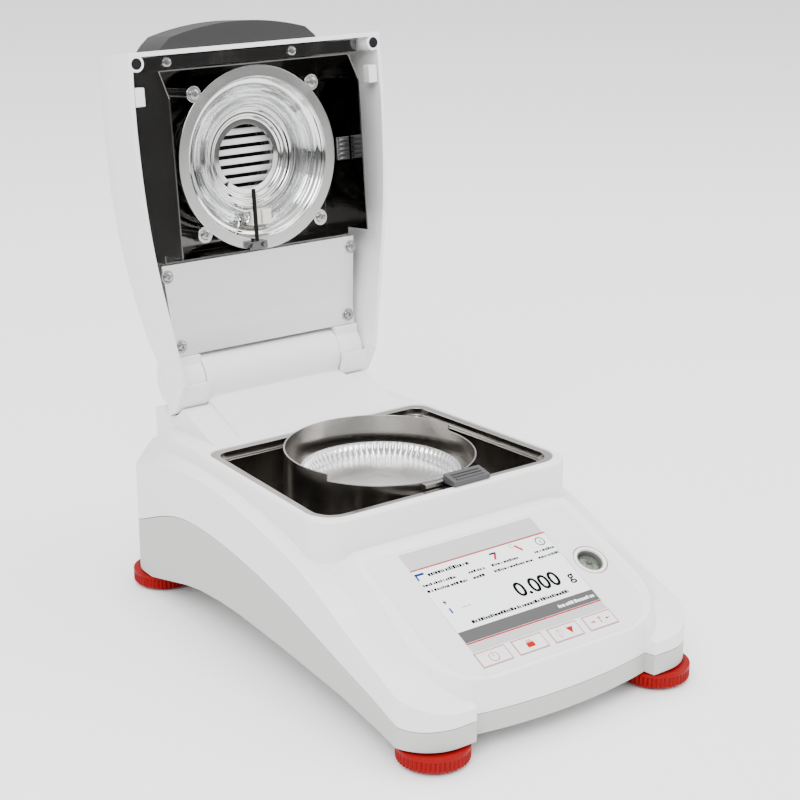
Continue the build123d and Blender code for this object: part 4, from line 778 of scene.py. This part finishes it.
def print_screen():
    """Bands and lines round the display, and what it shows, with the words as plain strokes."""
    left, band_right, line_right = -50.0, (44.6, 45.2), (45.6, 45.4)
    bands = [box2(left, band_right[0], 72.0, 84.4), box2(left, band_right[1], KEY_H + 0.9, 16.4)]
    lines = [box2(left, line_right[0], SCREEN_S1 + 0.05, 72.25), box2(left, line_right[1], 16.5, 17.35)]
    prints("panel_bands", FILM_TOP, print_pale, bands, "display_overlay")
    prints("panel_lines", FILM_TOP, print_red, lines, "display_overlay")

    bar = box2(SCREEN_X0 + 0.1, SCREEN_X1 - 0.1, SCREEN_S0 + 0.1, 25.5)
    prints("screen_bar", SCREEN_TOP, print_grey, [bar], "lcd_screen")
    black = word_bars(-41.5, -13, 66.7, 2.3, 11)
    upper_row = ((-49, -26.5, 5), (-17.8, -6.4, 8), (-1.4, 18.4, 3), (29.8, 44.2, 9))
    lower_row = ((-49, -21.5, 2), (-17.6, -9.2, 6), (-2.6, 25.4, 4), (29.4, 44.6, 7))
    for s, places in ((60.3, upper_row), (56.0, lower_row)):
        for x0, x1, seed in places:
            black += word_bars(x0, x1, s, 1.7, seed)
    black += word_bars(-37.5, 31, 29.2, 2.0, 14)
    black += figures("0.000", 0.4, 35.0, 14.2) + figures("g", 37.2, 35.2, 9.5)
    black += [box2(-45.4, -42.8, 46.0, 46.7), box2(-44.5, -43.8, 44.9, 47.8)]
    prints("screen_black", SCREEN_TOP, print_black, black, "lcd_screen")

    corner_sign = [box2(-49.4, -43.2, 67.6, 69.2), box2(-49.4, -48.2, 64.4, 67.6)]
    sample_sign = [box2(2.2, 7.0, 67.2, 68.6), box2(-44.6, -43.4, 38.2, 42.0)]
    clock_sign = arc2(38.6, 66.6, 2.5, 0.7, 0, 360) + [box2(38.4, 39.0, 65.0, 67.4)]
    prints("screen_blue", SCREEN_TOP, print_blue, corner_sign + sample_sign + clock_sign, "lcd_screen")
    slants = [[(5.2, 67.2), (6.8, 67.2), (4.4, 63.4), (2.8, 63.4)],
              [(20.2, 68.6), (21.8, 69.0), (25.0, 64.6), (23.6, 64.0)]]
    prints("screen_red", SCREEN_TOP, print_red, slants, "lcd_screen")
    small = word_bars(-36.6, -30.2, 40.2, 1.4, 21) + arc2(19.2, 69.0, 1.1, 0.6, 40, 300)
    prints("screen_grey", SCREEN_TOP, print_pale, small, "lcd_screen")
    on_bar = word_bars(17.6, 43.6, 21.4, 2.0, 17)
    prints("screen_pale", SCREEN_TOP + 0.02, print_white, on_bar, "lcd_screen")


def power_sign(x):
    return arc2(x + 10.2, 4.7, 2.7, 0.5, 120, 420) + [box2(x + 9.95, x + 10.45, 4.8, 8.3)], []


def menu_sign(x):
    block = [box2(x + 7.6, x + 12.8, 2.8, 6.0), box2(x + 8.3, x + 12.1, 6.3, 6.8)]
    return [], block + [box2(x + 9.0, x + 9.5, 7.1, 8.2), box2(x + 10.6, x + 11.1, 7.1, 8.2)]


def diamond_and_triangle_sign(x):
    pink = []
    for side in (1, -1):
        tip = x + 5.75 + side * 2.7
        for edge in (2.0, 7.8):
            strip = [(x + 5.6, edge), (x + 5.9, edge), (tip + 0.15, 4.9), (tip - 0.15, 4.9)]
            pink.append(strip if edge < 4.9 else [strip[i] for i in (1, 0, 3, 2)])
    pink.append(box2(x + 5.6, x + 5.9, 2.0, 7.8))
    return pink, [[(x + 11.4, 7.2), (x + 13.9, 2.6), (x + 16.4, 7.2)]]


def tare_sign(x):
    """A T between two arrows that point at it."""
    red = [box2(x + 9.0, x + 11.6, 6.4, 7.0), box2(x + 10.0, x + 10.6, 2.8, 6.4)]
    for side in (-1, 1):
        c = x + 10.3 + side * 5.2
        red += [box2(*sorted((c, c + side * 1.6)), 4.65, 5.15),
                [(c, 4.9 - side), (c, 4.9 + side), (c - side * 1.5, 4.9)]]
    return [], red


def print_keys():
    for i, sign in enumerate((power_sign, menu_sign, diamond_and_triangle_sign, tare_sign)):
        key = "key_%d" % (i + 1)
        x = KEY_X0 + i * KEY_PITCH
        pink, red = sign(x)
        outline = frame2(x + 0.05, x + KEY_W - 0.05, 0.05, KEY_H - 0.05, 0.42)
        prints(key + "_outline", KEY_TOP, print_pink, outline + pink, key)
        if red:
            prints(key + "_mark", KEY_TOP, print_red, red, key)


def print_level():
    ring = arc2(LEVEL_X, LEVEL_S, LEVEL_R + 0.25, 0.32, 0, 360, 64)
    prints("level_print", FILM_TOP, print_pink, ring, "display_overlay")


# Edge rounding of the pieces that keep their solid's shape, millimetres

ROUNDED = {
    "top_housing": 0.7, "bottom_housing": 0.5, "lid_shell": 0.7, "hinge_ear_left": 0.8, "hinge_ear_right": 0.8,
    "lid_handle": 1.2, "handler_grip": 0.5, "handler_tab": 0.25, "lid_pads": 0.6, "chamber_liner": 0.35,
    "sensor_bracket": 0.3, "lower_plate": 0.2, "reflector_ring": 0.3, "heat_shield_tub": 0.25,
    "handler_ring": 0.3, "key_1": 0.25, "key_2": 0.25, "key_3": 0.25, "key_4": 0.25, "bumpers": 0.6,
    "lamp_holders": 0.5, "end_shelf": 0.2, "power_inlet": 0.3, "serial_port": 0.25, "usb_port": 0.15,
    "foot_nuts": 0.4, "load_cell": 0.4, "ring_posts": 0.3, "load_cell_bracket": 0.5, "pan_support": 0.3,
    "temp_sensor": 0.4, "foot_pad_fl": 0.4, "foot_pad_fr": 0.4, "foot_pad_rl": 0.4, "foot_pad_rr": 0.4,
    "display_overlay": 0.0, "lcd_screen": 0.0, "heat_base_plate": 0.15,
}
for node, width in ROUNDED.items():
    rounded_copy(node, width)


def build_pan():
    """Pleated sample pan with a rolled rim."""
    sheet, flutes, flute_depth = 0.45, 78, 1.5
    z0, z1 = PAN_RIM_Z - PAN_DEPTH, PAN_RIM_Z
    wall = [(PAN_FLOOR_R + 0.3 + 3.9 * t, z0 + 0.5 + (PAN_DEPTH - 1.1) * t) for t in (0, 0.25, 0.5, 0.75, 1.0)]
    under = [(0.0, z0), (20.0, z0), (PAN_FLOOR_R - 0.5, z0)] + wall
    rim = [(PAN_RIM_R - 0.7, z1 - 0.55), (PAN_RIM_R - 0.1, z1 - 0.5), (PAN_RIM_R, z1 - 0.25),
           (PAN_RIM_R - 0.15, z1), (PAN_RIM_R - 1.0, z1)]
    inner = [(r - sheet, z + 0.05) for r, z in reversed(wall)]
    floor = [(PAN_FLOOR_R - 1.2, z0 + 0.4), (30.0, z0 + 0.4), (0.0, z0 + 0.4)]
    pan = turned("sample_pan_skin", under + rim + inner + floor, Matrix.Translation((0, PAN_Y, 0)),
                 finishes["pan_aluminium"], smooth_deg=55.0, Around=flutes * 8, Flutes=float(flutes),
                 Depth=flute_depth * MM, From=(PAN_FLOOR_R + 0.2) * MM, To=(PAN_FLOOR_R + 2.4) * MM,
                 Ribs_Below=(z1 - 0.58) * MM)
    stands_for(pan, "sample_pan")


def build_wheels():
    """Ribbed thumb wheels with a smooth band on top and the threaded stud above."""
    ribs, rib_depth, hole_z = 48, 0.85, 5.0
    thread = []
    z = THREAD_FROM
    while z < THREAD_TO:
        thread += [(STUD_R - 0.45, z), (STUD_R - 0.05, z + 0.45), (STUD_R - 0.45, z + 0.9)]
        z += THREAD_PITCH
    below = [(0.0, hole_z), (STUD_R + 0.05, hole_z), (STUD_R + 0.05, WHEEL_LOW), (WHEEL_R - 1.2, WHEEL_LOW),
             (WHEEL_R - 0.3, WHEEL_LOW + 0.3)]
    edge = [(WHEEL_R, z) for z in (2.9, 5.0, WHEEL_BAND_Z, WHEEL_BAND_Z + 0.1, WHEEL_TOP - 0.7)]
    above = [(WHEEL_R - 0.2, WHEEL_TOP - 0.2), (WHEEL_R - 0.7, WHEEL_TOP), (16.5, WHEEL_TOP),
             (16.2, WHEEL_TOP - 0.3), (8.0, WHEEL_TOP - 0.3), (7.6, WHEEL_TOP), (4.6, WHEEL_TOP),
             (STUD_R, WHEEL_TOP + 0.6)]
    tip = [(STUD_R - 0.4, STUD_TOP - 0.4), (STUD_R - 0.9, STUD_TOP), (0.0, STUD_TOP)]
    for name, (x, y) in FEET.items():
        wheel = turned("foot_wheel_%s_skin" % name, below + edge + above + thread + tip,
                       Matrix.Translation((x, y, 0)), finishes["foot_red"], smooth_deg=38.0, Around=ribs * 8,
                       Flutes=float(ribs), Depth=rib_depth * MM, From=(WHEEL_R - 1.0) * MM,
                       To=(WHEEL_R - 0.2) * MM, Ribs_Below=(WHEEL_BAND_Z + 0.05) * MM)
        stands_for(wheel, "foot_wheel_" + name)


def build_reflector():
    """Stepped dish of thin bright sheet."""
    sheet = 0.9
    dish = soften([(REFL_R - 0.6, 13.4), (REFL_IN_R, 13.4), (48.0, 10.6), (45.4, 10.0), (44.2, 6.4),
                   (41.6, 4.2), (38.0, 2.6), (34.0, 2.0), (32.2, 5.0), (29.8, 5.4), (28.6, 2.4), (25.6, 2.8),
                   (24.4, 0.2), (REFL_HOLE_R, 0.6)], 1.2, 5)
    back = [(r, f - sheet) for r, f in reversed(dish)]
    reflector = turned("reflector_skin", dish + back + dish[:1], LID @ Matrix.Translation((0, RING_V, 0)),
                       finishes["reflector_mirror"], smooth_deg=50.0, Around=180)
    stands_for(reflector, "reflector")


def wound(name, material, place, ring_r, wire_r, trim=0.0, **values):
    """Wire or tube bent round the lamp's ring, trimmed at both ends by an angle."""
    point = bpy.data.meshes.new("point")
    mesh = grow(name, COIL, point, material, Ring_Radius=ring_r * MM, Start=LAMP_START + trim,
                Sweep=LAMP_SWEEP - 2 * trim, Wire_Radius=wire_r * MM, **values)
    return placed(mesh, place)


def build_lamp():
    """Hollow glass ring with its wound filament and the stays that hold it."""
    glass_wall, stay_count, stay_trim = 0.9, 12, 0.3
    at = LID @ Matrix.Translation((0, RING_V, LAMP_F))
    outer = wound("lamp_outer", finishes["lamp_glass"], at, LAMP_R, LAMP_TUBE_R, Steps=160, Turns=0.0,
                  Wire_Sides=28)
    inner = wound("lamp_inner", finishes["lamp_glass"], at, LAMP_R, LAMP_TUBE_R - glass_wall, 0.02, Steps=160,
                  Turns=0.0, Wire_Sides=28)
    bm = bmesh.new()
    bm.from_mesh(outer)
    bmesh.ops.recalc_face_normals(bm, faces=bm.faces)
    done = len(bm.faces)
    bm.from_mesh(inner)
    bm.faces.ensure_lookup_table()
    hollow = bm.faces[done:]
    bmesh.ops.recalc_face_normals(bm, faces=hollow)
    bmesh.ops.reverse_faces(bm, faces=hollow)
    bm.to_mesh(outer)
    bm.free()
    shade(outer, 50.0)
    stands_for(link("lamp_tube_skin", outer), "lamp_tube")

    filament = wound("filament", tungsten, at, LAMP_R, 0.11, 0.12, Steps=3000, Winding_Radius=0.8 * MM,
                     Turns=240.0, Wire_Sides=4)
    goes_with(link("lamp_filament", filament), "lamp_holders")
    first, span = LAMP_START + stay_trim, LAMP_SWEEP - 2 * stay_trim
    angles = [first + span * i / (stay_count - 1) for i in range(stay_count)]
    stays = bpy.data.meshes.new("stays")
    stays.from_pydata([(LAMP_R * MM * math.cos(a), LAMP_R * MM * math.sin(a), 0) for a in angles], [], [])
    loop = grow("stay_ring", COIL, bpy.data.meshes.new("point"), tungsten, Steps=24, Ring_Radius=1.9 * MM,
                Turns=0.0, Sweep=2 * math.pi, Wire_Radius=0.16 * MM, Wire_Sides=5)
    item = link("stay_item", loop)
    ring = placed(grow("filament_stays", SCATTER, stays, tungsten, Item=item, Spread=3.0), at)
    bpy.data.objects.remove(item)
    goes_with(link("lamp_filament_stays", ring), "lamp_holders")


def build_grille():
    """Slotted vent behind the hole of the dish: collar, slats, and a near-black disc behind them that is
    painted shade for the dark space there.
    """
    at = LID @ Matrix.Translation((0, RING_V, GRILLE_F))
    collar = turned("vent_grille_skin", soften([(27.5, -7.8), (GRILLE_OUT_R, -7.8), (GRILLE_OUT_R, 0.6),
                                                (GRILLE_IN_R, 0.6), (GRILLE_IN_R, -0.6), (27.5, -0.6),
                                                (27.5, -7.8)], 0.2, 2), at, finishes["grille_white"], Around=96)
    stands_for(collar, "vent_grille")
    first = -GRILLE_PITCH * (GRILLE_SLATS - 1) / 2
    block_row("vent_grille_slats", (54.0, 3.7, 1.6), 0.7, GRILLE_SLATS, (0.0, GRILLE_PITCH, 0.0),
              at @ Matrix.Translation((0, first, 0)), "vent_grille", segments=3)
    r = GRILLE_OUT_R - 0.1
    # A near-black disc behind the slats: painted shade standing in for the dark space inside the vent.
    painted_vent_shade = turned("vent_shroud", [(r, -8.2), (0.0, -8.2), (0.0, -7.9), (r, -7.9)], at,
                    finishes["dark_plastic"], Around=64)
    goes_with(painted_vent_shade, "vent_grille")


def build_clip():
    """Ribbed clip beside the ring."""
    base = block_mesh((9.4, 14.5, 2.0), 0.3, at=(CLIP_X, CLIP_V, CLIP_F))
    stands_for(link("ring_clip_skin", placed(base, LID), finishes["clip_steel"]), "ring_clip")
    first = LID @ Matrix.Translation((CLIP_X, 126.1, CLIP_F + 1.6))
    block_row("ring_clip_ribs", (7.4, 1.5, 1.5), 0.45, CLIP_RIBS, (0.0, CLIP_PITCH, 0.0), first, "ring_clip")


def build_screws():
    corner = RING_SCREW_R * math.sqrt(0.5)
    on_ring = [(a * corner, RING_V + b * corner, RING_SCREW_F) for a in (-1, 1) for b in (-1, 1)]
    larger = {"head_r": 3.2, "head_h": 1.4, "socket_r": 1.35}
    washered = {"head_r": 3.0, "head_h": 1.3, "socket_r": 1.3, "washer_r": 4.2, "washer_t": 0.5}
    for node, places, sizes in (("ring_screws", on_ring, larger), ("plate_screws", PLATE_SCREWS, washered),
                                ("shelf_screws", SHELF_SCREWS, larger)):
        screws(node + "_skin", screw_item(**sizes), places, node, finishes["zinc_steel"])


def cap(radius, rise, centre_z, first_deg, step_deg):
    """Half of a flattened round outline, from first_deg up to its top."""
    turns = [math.radians(a) for a in range(first_deg, -1, -step_deg)]
    return [(radius * math.sin(a), centre_z + rise * math.cos(a)) for a in turns]


def build_level():
    """Bull's-eye level: white bezel, dark cup, and liquid with its bubble."""
    at = PANEL @ Matrix.Translation((LEVEL_X, LEVEL_S, 0))
    low, seat, inside = -10.2, -8.9, 7.9
    bezel = turned("level_ring_skin", soften([(LEVEL_R, low), (LEVEL_R, -0.1), (LEVEL_R - 0.3, 0.2), (8.2, 0.2),
                                              (inside, -0.3), (inside, seat), (0.0, seat), (0.0, low),
                                              (LEVEL_R, low)], 0.3, 3), at,
                   finishes["level_ring_plastic"], Around=96)
    stands_for(bezel, "level_ring")
    cup = turned("level_cup", [(7.75, -1.0), (7.75, -8.85), (0.0, -8.85), (0.0, -8.6), (7.5, -8.6), (7.5, -1.0),
                               (7.75, -1.0)], at, vial_dark, Around=72)
    goes_with(cup, "level_ring")
    glass = turned("level_vial_skin", [(0.0, -8.5), (7.45, -8.5)] + cap(7.45, 2.9, -4.0, 90, 9), at,
                   finishes["vial_glass"], Around=72)
    stands_for(glass, "level_vial")
    bubble_at = at @ Matrix.Translation((-0.4, 0.5, 0))
    bubble = turned("level_bubble", cap(2.6, 0.9, -2.6, 180, 12), bubble_at, fluid, Around=40)
    goes_with(bubble, "level_vial")


def build_grip_ribs():
    block_row("handler_grip_ribs", (20.0, 1.1, 1.0), 0.3, GRIP_RIBS, (0.0, GRIP_PITCH, 0.5),
              Matrix.Translation(GRIP_AT), "handler_grip")


print_screen()
print_keys()
print_level()
build_pan()
build_wheels()
build_reflector()
build_lamp()
build_grille()
build_clip()
build_screws()
build_level()
build_grip_ribs()


# Camera, light and floor

CAMERA_AT = Vector((-601.9, -836.0, 473.1))
CAMERA_AZIMUTH, CAMERA_ELEVATION = math.radians(-36.76), math.radians(18.02)
CAMERA_LENS = 82.5
FLOOR_HALF = 9.0
SKY_STRENGTH = 1.7
SKY_STOPS = ((0.12, 0.16), (0.32, 0.80))
LIGHTS = (("key", (-1.6, -1.4, 2.2), 1.6, 85.0), ("fill", (1.9, -1.2, 1.2), 1.5, 26.0),
          ("top", (0.2, 0.3, 2.4), 1.8, 50.0))
LIGHTS_AIM = Vector((0, 0, 0.12))


def aimed(obj, at, along):
    """Puts a camera or lamp in its place, looking along a direction."""
    obj.location = at
    obj.rotation_euler = along.to_track_quat("-Z", "Y").to_euler()
    bpy.context.scene.collection.objects.link(obj)
    return obj


def place_camera():
    data = bpy.data.cameras.new("camera")
    data.sensor_width = 36.0
    data.lens = CAMERA_LENS
    data.clip_end = 100.0
    across = math.cos(CAMERA_ELEVATION)
    look = Vector((-math.sin(CAMERA_AZIMUTH) * across, math.cos(CAMERA_AZIMUTH) * across,
                   -math.sin(CAMERA_ELEVATION)))
    bpy.context.scene.camera = aimed(bpy.data.objects.new("camera", data), CAMERA_AT * MM, look)


def place_floor():
    mesh = bpy.data.meshes.new("floor")
    corners = [(-FLOOR_HALF, -FLOOR_HALF, 0), (FLOOR_HALF, -FLOOR_HALF, 0), (FLOOR_HALF, FLOOR_HALF, 0),
               (-FLOOR_HALF, FLOOR_HALF, 0)]
    mesh.from_pydata(corners, [], [(0, 1, 2, 3)])
    pale = Finish("pale_floor", (0.97, 0.97, 0.97), 0.7)
    g = pale.group(MOULDED, Grain_Scale=200.0, Drift_Scale=0.8)
    pale.tint(g.outputs["Drift"], (0.95, 0.95, 0.95), 0.5)
    link("floor", mesh, pale.material)


def light_sky():
    """Grey below the horizon and bright above it, so that metal has something to mirror."""
    world = bpy.data.worlds.new("studio")
    bpy.context.scene.world = world
    world.use_nodes = True
    tree = world.node_tree
    back = tree.nodes["Background"]
    coords = tree.nodes.new("ShaderNodeTexCoord")
    split = tree.nodes.new("ShaderNodeSeparateXYZ")
    tree.links.new(coords.outputs["Generated"], split.inputs[0])
    ramp = tree.nodes.new("ShaderNodeValToRGB")
    stops = ramp.color_ramp.elements
    stops[0].position, stops[0].color = 0.0, (0.10, 0.10, 0.10, 1)
    stops[1].position, stops[1].color = 0.75, (1.0, 1.0, 1.0, 1)
    for at, grey in SKY_STOPS:
        stops.new(at).color = (grey, grey, grey, 1)
    tree.links.new(split.outputs[2], ramp.inputs["Fac"])
    tree.links.new(ramp.outputs["Color"], back.inputs["Color"])
    back.inputs["Strength"].default_value = SKY_STRENGTH


def place_lights():
    for name, at, size, watts in LIGHTS:
        data = bpy.data.lights.new(name, "AREA")
        data.shape = "SQUARE"
        data.size = size
        data.energy = watts
        aimed(bpy.data.objects.new(name, data), at, LIGHTS_AIM - Vector(at))


place_camera()
place_floor()
light_sky()
place_lights()
